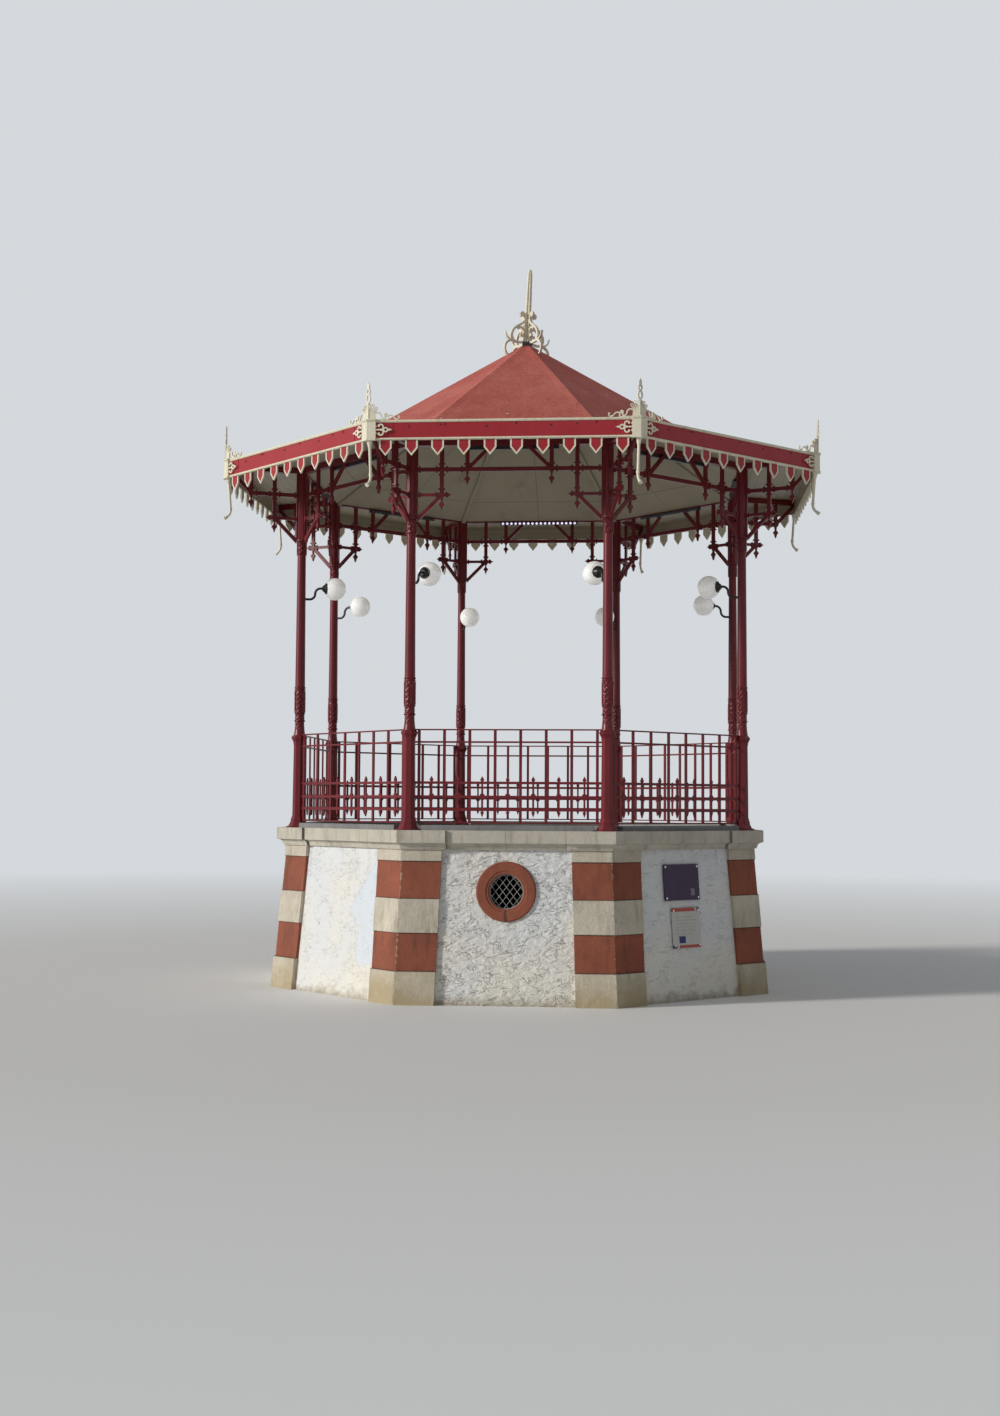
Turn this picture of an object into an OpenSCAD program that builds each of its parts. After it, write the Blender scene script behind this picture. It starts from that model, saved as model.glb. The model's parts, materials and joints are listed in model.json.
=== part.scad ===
// Octagonal cast-iron bandstand on a battered masonry plinth.
// Origin at ground level under the roof's point, front side facing -Y, +Z up, millimetres.

/* [Plan] */
// Distance between neighbouring column axes, which is one side of the octagon
side_w = 2000; // [1900:10:2100]
// Height of the deck and cornice top above the ground
deck_z = 1725; // [1705:5:1755]

/* [Plinth] */
// Distance from the centre to the corner piers' painted face at the reference height
pier_a = 2540; // [2520:5:2555]
// Height at which that face distance is measured
pier_ref_z = 1416; // [1400:2:1430]
// Inward lean of the plinth faces, as a slope
batter = 0.085; // [0.06:0.005:0.1]
// Width of each flank of a corner pier, measured from its arris
pier_w = 400; // [360:10:440]
// How far the stone courses stand proud of the painted blocks
stone_proud = 10; // [6:1:14]
// How far the roughcast panels lie behind the painted blocks
panel_recess = 30; // [20:2:40]
// Distance from the centre to the plinth's inner face
wall_in = 2260; // [2200:10:2290]
// Thickness of the deck slab
deck_t = 150; // [140:5:160]
// Radius of the round vent's surround
vent_ring_r = 300; // [280:5:310]
// Radius of the round vent's opening
vent_r = 174; // [160:2:190]
// Height of the round vent's centre
vent_z = 1121; // [1080:5:1150]

/* [Columns] */
// Width of the octagonal pedestal at its foot
pedestal_w = 128; // [120:2:132]
// Width of the octagonal pedestal under its cap
pedestal_top_w = 114; // [110:2:118]
// Diameter of the shaft at its foot
shaft_d = 108; // [100:2:112]
// Diameter of the shaft under the capital
shaft_top_d = 92; // [86:2:98]
// Height of the underside of the eaves beams
beam_z = 5630; // [5610:5:5650]

/* [Railing] */
// Height of the top rail's centre above the deck
rail_h = 1013; // [990:1:1030]
// Spacing of the full-height uprights
upright_pitch = 257; // [255:1:258]

/* [Frieze] */
// Height of the long tie bar's centre
tie_z = 5388; // [5370:2:5400]
// Height of the bracket nodes' centres
node_z = 5127; // [5110:1:5140]
// Distance from a column axis to the first hanger
hanger_1 = 311; // [300:1:320]
// Distance from a column axis to the second hanger
hanger_2 = 571; // [560:1:580]
// Face width of the frieze bars
frieze_bar_w = 42; // [38:1:46]
// Thickness of the frieze bars
frieze_t = 26; // [22:1:30]

/* [Eaves] */
// Distance from the centre to the outermost face of the fascia mouldings
fascia_a = 3208; // [3190:2:3220]
// Height of the fascia's lower edge
fascia_z = 5532; // [5526:1:5540]
// Depth of the fascia
fascia_h = 197; // [190:1:204]
// Number of pointed tabs on each side
tab_count = 10; // [8:1:10]
// Spacing of the pointed tabs
tab_pitch = 257; // [252:1:259]
// Width of a pointed tab
tab_w = 124; // [110:2:140]

/* [Roof] */
// Height of the roof's point
apex_z = 7330; // [7250:5:7400]
// Slope of the roof faces
roof_slope = 0.665; // [0.655:0.001:0.675]
// Height of the spike's tip above the roof's point
spike_h = 868; // [800:2:900]
// Lean of the spike away from upright, in degrees
spike_lean = 2.3; // [0:0.1:3]

/* [Hidden] */
tan_h = tan(22.5);
cos_h = cos(22.5);
col_a = side_w / 2 / tan_h;
col_r = side_w / 2 / sin(22.5);
far = 4200;
eave_r = fascia_a / cos_h;

// Shared placing: side i faces outwards at 45 * i degrees from the front, and
// corner i stands between side i - 1 and side i, its local +X pointing outwards.
module on_side(i) rotate([0, 0, 45 * i]) children();
module on_sides() for (i = [0:7]) on_side(i) children();
module on_corner(i, r = 0) rotate([0, 0, 45 * i - 112.5]) translate([r, 0, 0]) children();
module on_corners(r = 0) for (i = [0:7]) on_corner(i, r) children();

// Octagonal prism whose flats are a distance "a" from the centre
module oct_prism(a, z0, z1)
  translate([0, 0, z0]) rotate([0, 0, 22.5]) cylinder(h = z1 - z0, r = a / cos_h, $fn = 8);

// Octagonal pyramid under the roof's planes, lowered by "drop"
module oct_pyramid(drop, base_z = 5400) {
  h = apex_z - drop - base_z;
  translate([0, 0, base_z])
    rotate([0, 0, 22.5]) cylinder(h = h, r1 = h / roof_slope / cos_h, r2 = 0, $fn = 8);
}

// A profile drawn as [distance from the centre, height], run along the front side
module side_profile(length = 2 * far)
  rotate([90, 0, -90]) linear_extrude(height = length, center = true) children();

// The same profile run along one side and cut to the octagon's mitres
module mitred_side()
  intersection() {
    side_profile() children();
    linear_extrude(height = 8000) polygon([[0, 0], [far * tan_h, -far], [-far * tan_h, -far]]);
  }

// The same profile on both flanks of corner i, from the line "x0" along the side to the mitre
module corner_flanks(i, x0)
  for (s = [-1, 1])
    on_side(i - 0.5 + 0.5 * s)
      intersection() {
        side_profile() children();
        linear_extrude(height = 8000)
          polygon([[-s * x0, -x0 / tan_h], [-s * x0, -far], [-s * far * tan_h, -far]]);
      }

// Smooth stroke for scrollwork: a spline through hand-set points, with a width at each end
function blend(a, b, c, d, t) =
  0.5 * (2 * b + (c - a) * t + (2 * a - 5 * b + 4 * c - d) * t * t
  + (3 * b - a - 3 * c + d) * t * t * t);
function spline(p, n) = [
  for (i = [0:len(p) - 2], k = [0:n - 1])
    blend(p[max(i - 1, 0)], p[i], p[i + 1], p[min(i + 2, len(p) - 1)], k / n),
  p[len(p) - 1]
];
function unit(v) = v / norm(v);
function side_step(q, i) = let (d = unit(q[min(i + 1, len(q) - 1)] - q[max(i - 1, 0)])) [-d[1], d[0]];
function half_w(w0, w1, i, n) = (w0 + (w1 - w0) * i / n) / 2;
module stroke(points, w0, w1, n = 3) {
  q = spline(points, n);
  m = len(q) - 1;
  polygon([
    for (i = [0:m]) q[i] + side_step(q, i) * half_w(w0, w1, i, m),
    for (i = [m:-1:0]) q[i] - side_step(q, i) * half_w(w0, w1, i, m)
  ]);
}

// A plate of thickness t standing upright along local X, drawn as [along, height]
module upright_plate(t) rotate([90, 0, 0]) linear_extrude(height = t, center = true) children();

// Part of a flat ring of mid radius r and width w, from angle a0 to a1
module arc(c, r, w, a0, a1)
  translate(c)
    intersection() {
      difference() {
        circle(r = r + w / 2, $fn = 64);
        circle(r = r - w / 2, $fn = 64);
      }
      polygon([[0, 0], for (k = [0:3]) let (a = a0 + (a1 - a0) * k / 3) 2 * r * [cos(a), sin(a)]]);
    }

// Points of a half-round moulding edge that bulges outwards, for mitred runs
function half_round(c, r) = [for (a = [-90:36:90]) c + r * [cos(a), sin(a)]];

// Straight flat bar between two points
module bar(p, q, w)
  translate(p) rotate(atan2(q[1] - p[1], q[0] - p[0])) translate([0, -w / 2]) square([norm(q - p), w]);
module lozenge(p, w, h) translate(p) polygon([[0, h / 2], [w / 2, 0], [0, -h / 2], [-w / 2, 0]]);

// Plinth
plinth_top = deck_z - 190;
function pier_face(z) = pier_a + (pier_ref_z - z) * batter;
function panel_face(z) = pier_face(z) - panel_recess;
function pier_edge(z) = pier_face(z) * tan_h - pier_w;
deck_under = deck_z - deck_t;
deck_seat_a = wall_in + 100;
wall_lean = atan(batter);

// Courses of a corner pier from the ground up: [bottom, top]
base_course = [0, 330];
low_block = [330, 705];
mid_course = [705, 1045];
high_block = [1045, 1416];
top_course = [1416, plinth_top];

// Ledge that the deck slab rests on, above the walls' heads
module deck_ledge()
  translate([wall_in, plinth_top]) square([deck_seat_a - wall_in, deck_under - plinth_top]);

module pier_course(i, course, proud, ledge = false)
  for (s = [-1, 1])
    on_side(i - 0.5 + 0.5 * s)
      intersection() {
        mitred_side() {
          polygon([
            [wall_in, course[0]], [pier_face(course[0]) + proud, course[0]],
            [pier_face(course[1]) + proud, course[1]], [wall_in, course[1]]
          ]);
          if (ledge) deck_ledge();
        }
        rotate([90, 0, 0]) linear_extrude(height = far)
          polygon([
            [-s * pier_edge(course[0]), course[0]], [-s * far, course[0]],
            [-s * far, deck_z], [-s * pier_edge(deck_z), deck_z]
          ]);
      }

module pier_stones()
  color("lightslategray")
    for (i = [0:7]) {
      pier_course(i, base_course, 2 * stone_proud);
      pier_course(i, mid_course, stone_proud);
      pier_course(i, top_course, stone_proud, true);
    }

module pier_painted_blocks()
  color("indianred")
    for (i = [0:7]) {
      pier_course(i, low_block, 0);
      pier_course(i, high_block, 0);
    }

// A frame standing on the roughcast face of side i: local +Z points out of the wall
module on_wall(i, x, z)
  on_side(i) translate([x, -panel_face(z), z]) rotate([90 - wall_lean, 0, 0]) children();

vent_sides = [0, 2, 4, 6];
vent_seat = 40;
wall_cut = 600;

module plinth_wall(i)
  on_side(i)
    intersection() {
      side_profile() {
        polygon([
          [wall_in, 0], [panel_face(0), 0], [panel_face(plinth_top), plinth_top],
          [wall_in, plinth_top]
        ]);
        deck_ledge();
      }
      rotate([90, 0, 0]) linear_extrude(height = far)
        polygon([
          [-pier_edge(0), 0], [pier_edge(0), 0], [pier_edge(deck_z), deck_z], [-pier_edge(deck_z), deck_z]
        ]);
    }

module plinth_walls()
  color("whitesmoke")
    for (i = [0:7])
      if (len(search(i, vent_sides)) > 0)
        difference() {
          plinth_wall(i);
          on_wall(i, 0, vent_z) {
            translate([0, 0, -vent_seat]) cylinder(h = wall_cut, r = vent_ring_r, $fn = 96);
            translate([0, 0, -wall_cut]) cylinder(h = 2 * wall_cut, r = vent_r, $fn = 96);
          }
        }
      else
        plinth_wall(i);

module vent_surrounds()
  color("indianred")
    for (i = vent_sides)
      on_wall(i, 0, vent_z)
        rotate_extrude($fn = 96)
          polygon([
            [vent_r, -vent_seat], [vent_ring_r, -vent_seat], [vent_ring_r, 14], [vent_ring_r - 12, 26],
            [vent_r + 34, 26], [vent_r + 26, 18], [vent_r + 8, 18], [vent_r, 10]
          ]);

// Diamond mesh of flat wires in a rim that fits the vent's opening
grille_rim = 10;
wire_w = 5;
mesh_pitch = 56;
mesh_angle = 52;
module vent_grilles()
  color("silver")
    for (i = vent_sides)
      on_wall(i, 0, vent_z)
        translate([0, 0, -30])
          linear_extrude(height = 6) {
            difference() {
              circle(r = vent_r, $fn = 96);
              circle(r = vent_r - grille_rim, $fn = 96);
            }
            intersection() {
              circle(r = vent_r - grille_rim / 2, $fn = 96);
              union()
                for (s = [-1, 1], k = [-2.5:1:2.5])
                  rotate(s * mesh_angle) translate([-vent_r, k * mesh_pitch - wire_w / 2])
                    square([2 * vent_r, wire_w]);
            }
          }

// Cornice: a bed mould, a hollow and a deep fascia, breaking forward over the piers
cornice_a = 2605;
cornice_break = 28;
break_x = 600;
module cornice_profile(proud) {
  face = cornice_a + proud;
  bed = face - 70;
  translate([deck_seat_a, plinth_top]) square([bed - deck_seat_a, deck_z - plinth_top]);
  translate([bed - 1, plinth_top + 65]) square([71, deck_z - plinth_top - 65]);
  hollow = [bed + 55, plinth_top + 12];
  polygon([
    [bed - 1, hollow[1] + 54], [bed - 1, hollow[1]],
    for (a = [180:-15:90]) hollow + 50 * [cos(a), sin(a)],
    [bed + 55, hollow[1] + 54]
  ]);
}

module cornice()
  color("lightgray") {
    on_sides() side_profile(2 * break_x) cornice_profile(0);
    for (i = [0:7]) corner_flanks(i, break_x) cornice_profile(cornice_break);
  }

module deck_floor()
  color("gainsboro")
    oct_prism(deck_seat_a, deck_under, deck_z);

kerb_in = 2330;
kerb_out = 2500;
kerb_h = 50;
kerb_half_l = side_w / 2 - 140;
module kerb_stones()
  color("gray")
    on_sides()
      side_profile(2 * kerb_half_l)
        polygon([
          [kerb_in, deck_z], [kerb_out, deck_z], [kerb_out, deck_z + kerb_h - 10],
          [kerb_out - 10, deck_z + kerb_h], [kerb_in, deck_z + kerb_h]
        ]);

// Two bare plates on studs on the front right panel
plate_gap = 12;
module wall_plate(x, z, w, h, t) {
  stud_x = w / 2 - 25;
  stud_z = h / 2 - 25;
  on_wall(1, x, z) {
    translate([-w / 2, -h / 2, plate_gap]) cube([w, h, t]);
    for (sx = [-1, 1], sz = [-1, 1])
      translate([sx * stud_x, sz * stud_z, 0]) cylinder(h = plate_gap + t + 8, r = 11, $fn = 32);
  }
}

module wall_plates()
  color("mediumpurple") {
    wall_plate(-75, 1200, 512, 368, 8);
    wall_plate(-42, 737, 408, 405, 5);
  }

// Columns: heights of their parts above the deck
pedestal_z0 = 125;
pedestal_z1 = 906;
neck_z0 = 1008;
neck_z1 = 1160;
drum_z0 = 1260;
drum_z1 = 1505;
shaft_z0 = 1541;
shaft_z1 = 2999;
bell_z0 = 3012;
bell_z1 = 3132;
capital_z1 = 3172;
post_z1 = beam_z - deck_z;
post_w = 104;
drum_r = 55;
bell_r = 50;
leaf_lift = 6;
fin_r = 66;
fin_t = 28;
pedestal_flat = 1 / cos_h / 2;

// Octagonal step of a column, w across the flats
module oct_step(z0, z1, w0, w1)
  translate([0, 0, z0]) cylinder(h = z1 - z0, r1 = w0 * pedestal_flat, r2 = w1 * pedestal_flat, $fn = 8);

// Round bead between two heights
module bead(z, r, thick)
  translate([0, 0, z]) rotate_extrude($fn = 48) {
    translate([0, -thick / 2]) square([r - thick / 2, thick]);
    translate([r - thick / 2, 0]) circle(d = thick, $fn = 32);
  }

// Hollow neck that narrows upwards from r0 to r1
module hollow_neck(z0, z1, r0, r1)
  translate([0, 0, z0])
    rotate_extrude($fn = 48)
      intersection() {
        square([r0, z1 - z0]);
        polygon([
          [0, 0], for (k = [0:8]) [r1 + (r0 - r1) * pow(1 - k / 8, 2.2), (z1 - z0) * k / 8], [0, z1 - z0]
        ]);
      }

// Ring of six upright leaves that stand proud of a round core of radius "r"
module leaf_ring(z0, z1, r, w)
  translate([0, 0, (z0 + z1) / 2])
    for (k = [0:5])
      rotate([0, 0, 60 * k])
        intersection() {
          cylinder(h = z1 - z0, r = r + leaf_lift, center = true, $fn = 48);
          rotate([90, 0, 90])
            linear_extrude(height = 2 * r)
              polygon((z1 - z0) / 2 * [[0, 1], [w, 0.3], [0.6 * w, -1], [-0.6 * w, -1], [-w, 0.3]]);
        }

// Foot, tapering pedestal, cap and neck: the part of a column that the rails run into
module column_foot()
  translate([0, 0, deck_z]) {
    oct_step(0, 14, 245, 245);
    oct_step(14, 34, 206, 196);
    oct_step(34, 62, 186, 168);
    oct_step(62, 86, 158, 158);
    oct_step(86, 108, 158, 142);
    oct_step(108, pedestal_z0, 142, 138);
    oct_step(pedestal_z0, pedestal_z1, pedestal_w, pedestal_top_w);
    oct_step(pedestal_z1, 930, 122, 122);
    oct_step(930, 972, 122, 158);
    oct_step(972, 988, 164, 164);
    oct_step(988, neck_z0, 164, 132);
    hollow_neck(neck_z0, neck_z1, 64, 50);
  }

// Tapering round shaft between its foot ring and the capital
module shaft()
  translate([0, 0, deck_z + shaft_z0])
    cylinder(h = shaft_z1 - shaft_z0, r1 = shaft_d / 2, r2 = shaft_top_d / 2, $fn = 48);

module column_at(i)
  color("firebrick")
    on_corner(i, col_r) {
      column_foot();
      shaft();
      translate([0, 0, deck_z]) {
        bead(1166, 61, 18);
        translate([0, 0, neck_z1]) cylinder(h = drum_z0 - neck_z1, r = 52, $fn = 48);
        bead(drum_z0 - 6, 61, 16);
        translate([0, 0, drum_z0 - 10]) cylinder(h = drum_z1 + 21 - drum_z0, r = drum_r, $fn = 48);
        leaf_ring(drum_z0 + 6, drum_z1 - 6, drum_r, 0.2);
        bead(drum_z1 + 5, 60, 14);
        bead(shaft_z0 - 9, 62, 18);
        translate([0, 0, drum_z1]) cylinder(h = shaft_z0 - drum_z1, r = 54, $fn = 48);
        bead(shaft_z1 + 6, 56, 16);
        translate([0, 0, shaft_z1]) cylinder(h = capital_z1 - shaft_z1, r = bell_r, $fn = 48);
        leaf_ring(bell_z0 + 4, bell_z1, bell_r, 0.4);
        bead(bell_z1 + 6, 61, 16);
        translate([0, 0, capital_z1 - 20]) cylinder(h = 20, r = fin_r, $fn = 48);
        oct_step(capital_z1, post_z1, post_w, post_w);
        for (a = [-112.5, 0, 112.5])
          rotate([0, 0, a])
            translate([0, -fin_t / 2, capital_z1]) cube([fin_r, fin_t, post_z1 - capital_z1]);
      }
    }

// Railing of one side
// Each rail: [height of its centre above the deck, height, depth]
rails = [
  [rail_h, 14, 22], [rail_h - 125, 18, 20], [478, 26, 20], [337, 26, 20], [209, 30, 20], [76, 14, 22]
];
bar_t = 16;
upright_w = 29;

// Dart bar: spear above, rounded gusset in the middle, arrowhead below
module dart() {
  translate([-10, 170]) square([20, 330]);
  polygon([[-10, 490], [10, 490], [21, 508], [0, 546], [-21, 508]]);
  intersection() {
    translate([0, 337]) circle(r = 34, $fn = 48);
    translate([-24, 300]) square([48, 74]);
  }
  polygon([[-22, 192], [0, 130], [22, 192], [10, 182], [-10, 182]]);
}

module railing_bars() {
  for (k = [-3.5:1:3.5])
    translate([k * upright_pitch - upright_w / 2, 70]) square([upright_w, rail_h - 63]);
  for (k = [-3:3]) translate([k * upright_pitch, 0]) dart();
}

module railing_at(i)
  color("firebrick")
    difference() {
      on_side(i)
        translate([0, -col_a, deck_z]) {
          for (r = rails)
            translate([-side_w / 2, -r[2] / 2, r[0] - r[1] / 2]) cube([side_w, r[2], r[1]]);
          upright_plate(bar_t) railing_bars();
        }
      for (k = [i, i + 1]) on_corner(k, col_r) column_foot();
    }

// Frieze: everything is set out from the column axis outwards along the bay
diag_rise = beam_z - tie_z;
brace_run = node_z - 4876;

module hanging_drop(p) {
  translate(p) {
    translate([-8, -56]) square([16, 56]);
    translate([-14, -34]) square([28, 12]);
    lozenge([0, -88], 66, 76);
    polygon([[-15, -110], [15, -110], [0, -154]]);
  }
}

module half_frieze() {
  bar([fin_r, tie_z], [hanger_2, tie_z], frieze_bar_w);
  bar([hanger_1, node_z], [hanger_1, beam_z], frieze_bar_w);
  bar([hanger_2, tie_z], [hanger_2, beam_z], frieze_bar_w);
  intersection() {
    bar([hanger_2, tie_z], [hanger_2 + diag_rise + 40, beam_z + 40], frieze_bar_w - 4);
    translate([0, tie_z - 60]) square([side_w, beam_z - tie_z + 60]);
  }
  intersection() {
    bar([hanger_1 - brace_run - 40, node_z - brace_run - 40], [hanger_1, node_z], frieze_bar_w - 4);
    translate([fin_r, 4800]) square([400, 400]);
  }
  bar([fin_r, node_z], [hanger_1 + 50, node_z], 32);
  lozenge([hanger_1 + 62, node_z], 46, 50);
  polygon([[hanger_1 + 74, node_z - 10], [hanger_1 + 74, node_z + 10], [hanger_1 + 98, node_z]]);
  hanging_drop([hanger_1, node_z - 12]);
  hanging_drop([hanger_2, tie_z - 12]);
}

// Collars and bosses that stand proud of the bars on both faces
collar_w = 68;
collar_t = 18;
collar_off = 54;
module frieze_collars() {
  for (u = [fin_r + collar_t, hanger_1 - collar_off, hanger_1 + collar_off, hanger_2 - collar_off])
    translate([u - collar_t / 2, tie_z - collar_w / 2]) square([collar_t, collar_w]);
  for (z = [tie_z - collar_off, tie_z + collar_off, node_z + 58])
    translate([hanger_1 - collar_w / 2, z - collar_t / 2]) square([collar_w, collar_t]);
  translate([hanger_2 - collar_w / 2, tie_z + collar_off - collar_t / 2]) square([collar_w, collar_t]);
  for (u = [fin_r + collar_t, hanger_1 - collar_off, hanger_1 + 48])
    translate([u - collar_t / 2, node_z - 28]) square([collar_t, 56]);
  translate([hanger_1, node_z]) circle(r = 34, $fn = 48);
  translate([hanger_2, tie_z]) circle(r = 32, $fn = 48);
}

module frieze_at(i)
  color("darkred")
    on_side(i)
      translate([0, -col_a, 0]) {
        upright_plate(frieze_t) {
          for (s = [0, 1]) mirror([s, 0]) translate([-side_w / 2, 0]) half_frieze();
          bar([-side_w / 2 + hanger_2, tie_z], [side_w / 2 - hanger_2, tie_z], frieze_bar_w);
        }
        for (s = [0, 1])
          mirror([s, 0, 0]) translate([-side_w / 2, 0, 0]) upright_plate(frieze_t + 14) frieze_collars();
      }

fascia_in = fascia_a - 36;
eave_in_r = fascia_in / cos_h - 8;

// Brackets that carry the overhang out from each column to the eaves corner
module corner_brackets()
  color("darkred")
    on_corners(col_r) {
      upright_plate(frieze_t)
        intersection() {
          half_frieze();
          translate([0, 4000]) square([eave_in_r - col_r, 2000]);
        }
      upright_plate(frieze_t + 14) frieze_collars();
    }

beam_w = 80;
beam_h = 65;
soffit_t = 12;
module eaves_beams()
  color("darkred") {
    difference() {
      oct_prism(col_a + beam_w / 2, beam_z, beam_z + beam_h);
      oct_prism(col_a - beam_w / 2, beam_z - 1, beam_z + beam_h + 1);
    }
    intersection() {
      on_corners(col_r) translate([0, -30, beam_z]) cube([900, 60, beam_h]);
      oct_prism(fascia_in, beam_z, beam_z + beam_h);
    }
  }

soffit_z = beam_z + beam_h;
module soffit_boards()
  color("darkkhaki")
    difference() {
      oct_prism(fascia_in, soffit_z, soffit_z + soffit_t);
      oct_prism(col_a - beam_w / 2, soffit_z - 1, soffit_z + soffit_t + 1);
    }

// Fascia board with a rounded moulding along its top and bottom edges
module fascia_profile() {
  translate([fascia_in, fascia_z]) square([22, fascia_h]);
  translate([fascia_in, fascia_z + fascia_h - 24]) square([30, 24]);
  polygon([
    [fascia_in, fascia_z + fascia_h - 20], each half_round([fascia_a - 8, fascia_z + fascia_h - 12], 8),
    [fascia_in, fascia_z + fascia_h - 4]
  ]);
  translate([fascia_in, fascia_z]) square([28, 22]);
  polygon([
    [fascia_in, fascia_z + 2], each half_round([fascia_a - 9, fascia_z + 11], 9),
    [fascia_in, fascia_z + 20]
  ]);
}

module fascia_boards()
  color("crimson")
    on_sides() mitred_side() fascia_profile();

// Pointed tabs with a raised border
tab_shoulder_z = 5455;
tab_tip_z = 5379;
tab_border = 16;
module tab_outline(inset = 0) {
  w = tab_w / 2 - inset;
  polygon([
    [-w, fascia_z], [w, fascia_z], [w, tab_shoulder_z + inset * 0.35],
    [0, tab_tip_z + inset * 1.3], [-w, tab_shoulder_z + inset * 0.35]
  ]);
}

module valance_tabs()
  color("moccasin")
    on_sides()
      for (k = [0:tab_count - 1])
        translate([(k - (tab_count - 1) / 2) * tab_pitch, -fascia_in - 8, 0])
          difference() {
            upright_plate(16) tab_outline();
            translate([0, -8, 0]) upright_plate(8) tab_outline(tab_border);
          }

// Two-faced boxes over the fascia's corners, with fleur-de-lis arms on both sides
box_w = 80;
box_proud = 14;
box_z0 = fascia_z - 6;
box_z1 = fascia_z + fascia_h + 8;
box_arris = fascia_a * tan_h;
module box_profile()
  difference() {
    union() {
      translate([fascia_in + 22, box_z0]) square([box_proud + 14, box_z1 - box_z0]);
      translate([fascia_in + 22, box_z1 - 16]) square([box_proud + 23, 16]);
      translate([fascia_in + 22, box_z0]) square([box_proud + 22, 14]);
      polygon([
        [fascia_in + 22, box_z1 - 28], each half_round([fascia_a + box_proud, box_z1 - 23], 5),
        [fascia_in + 22, box_z1 - 18]
      ]);
    }
    fascia_profile();
  }

// Fleur-de-lis lying along the fascia, its point away from the box
fleur_z = fascia_z + fascia_h / 2;
module fleur() {
  translate([-4, -7]) square([78, 14]);
  polygon([[40, -7], [74, -13], [74, 13], [40, 7]]);
  for (s = [0, 1])
    mirror([0, s]) {
      translate([-3, 34]) circle(r = 13, $fn = 32);
      translate([67, 0]) square([14, 28]);
      arc([49, 28], 25, 14, -10, 150);
      translate([31, 38]) circle(r = 11, $fn = 32);
    }
  difference() {
    translate([98, 0]) circle(r = 27, $fn = 48);
    translate([98, 0]) circle(r = 13, $fn = 48);
  }
  polygon([[121, -6], [134, -11], [162, 0], [134, 11], [121, 6]]);
}

module corner_boxes()
  color("cornsilk") {
    for (i = [0:7]) corner_flanks(i, box_arris - box_w) box_profile();
    on_sides()
      for (s = [0, 1])
        mirror([s, 0, 0])
          translate([-box_arris + box_w, -fascia_a - 4, fleur_z])
            upright_plate(12) fleur();
  }

// Cresting that runs along the fascia's top away from each corner
crest_z = fascia_z + fascia_h;
module crest_scroll() {
  arc([98, 44], 33, 14, 0, 195);
  arc([171, 50], 40, 13, 172, 270);
  bar([166, 10], [178, 44], 13);
  translate([180, 50]) circle(r = 19, $fn = 40);
  arc([222, 10], 36, 12, 28, 140);
  arc([286, 46], 36, 11, 206, 275);
  arc([291, 26], 17, 10, -90, 40);
  translate([304, 36]) circle(r = 10, $fn = 32);
  translate([box_w, 0]) square([120, 9]);
  translate([196, 0]) square([14, 42]);
  translate([268, 0]) square([30, 10]);
}

// Half of a palmette: a solid foot and a fan of looped petals
module petal(l, w, t) {
  h = l - w / 2;
  difference() {
    union() {
      translate([0, h]) circle(d = w, $fn = 40);
      polygon([[-5, 0], [5, 0], [w / 2, h], [-w / 2, h]]);
    }
    translate([0, h]) circle(d = w - 2 * t, $fn = 40);
    polygon([[0, l * 0.42], [w / 2 - t, h], [t - w / 2, h]]);
  }
}

module palmette() {
  polygon([[-4, 0], [78, 0], [76, 30], [66, 62], [44, 70], [20, 84], [-4, 90]]);
  translate([10, 44]) rotate(-4) petal(112, 30, 8);
  translate([22, 40]) rotate(-17) petal(116, 32, 8);
  translate([36, 36]) rotate(-33) petal(102, 30, 8);
}

// Pointed oval, the outline shared by the spire's openings and its tip
module pointed_oval(h, w) {
  r = (h * h + w * w) / (4 * w);
  intersection() {
    translate([r - w / 2, 0]) circle(r = r, $fn = 96);
    translate([w / 2 - r, 0]) circle(r = r, $fn = 96);
  }
}

// Open two-strand spire, each strand crossing over the other
module spire() {
  translate([-6, 0]) square([12, 178]);
  difference() {
    translate([0, 212]) pointed_oval(108, 54);
    translate([0, 212]) pointed_oval(76, 26);
  }
  difference() {
    translate([0, 284]) pointed_oval(84, 46);
    translate([0, 284]) pointed_oval(54, 21);
  }
  translate([0, 334]) pointed_oval(84, 30);
}

module corner_finials()
  color("cornsilk")
    for (i = [0:7]) {
      for (s = [0, 1])
        on_side(i - s)
          mirror([s, 0, 0])
            translate([-box_arris, -fascia_a + 8, crest_z])
              upright_plate(12) {
                translate([0, 8]) palmette();
                crest_scroll();
              }
      on_corner(i, eave_r - 8) {
        translate([-7, -7, box_z1]) cube([16, 14, 152]);
        translate([0, 0, crest_z]) rotate([0, 0, 90]) upright_plate(15) spire();
      }
    }

// Rain spouts: a trumpet head under each corner, a slim leaning pipe and an outward toe
spout_r = eave_r - 38;
spout_lean = 4.5;
spout_pipe_r = 14;
bend_r = 95;
bend_a = 62;
module spout() {
  translate([0, 0, -66]) cylinder(h = 72, r1 = spout_pipe_r + 3, r2 = 31, $fn = 32);
  translate([0, 0, -336]) cylinder(h = 274, r = spout_pipe_r, $fn = 32);
  translate([0, 0, -346]) cylinder(h = 22, r = spout_pipe_r + 4, $fn = 32);
  translate([bend_r, 0, -340]) rotate([90, 0, 0]) {
    rotate([0, 0, 180])
      rotate_extrude(angle = bend_a, $fn = 48) translate([bend_r, 0]) circle(r = spout_pipe_r, $fn = 32);
    rotate([0, 0, 176 + bend_a]) translate([bend_r, 0, 0]) rotate([-90, 0, 0])
      cylinder(h = 38, r1 = spout_pipe_r + 2, r2 = spout_pipe_r + 7, $fn = 32);
  }
}

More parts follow.
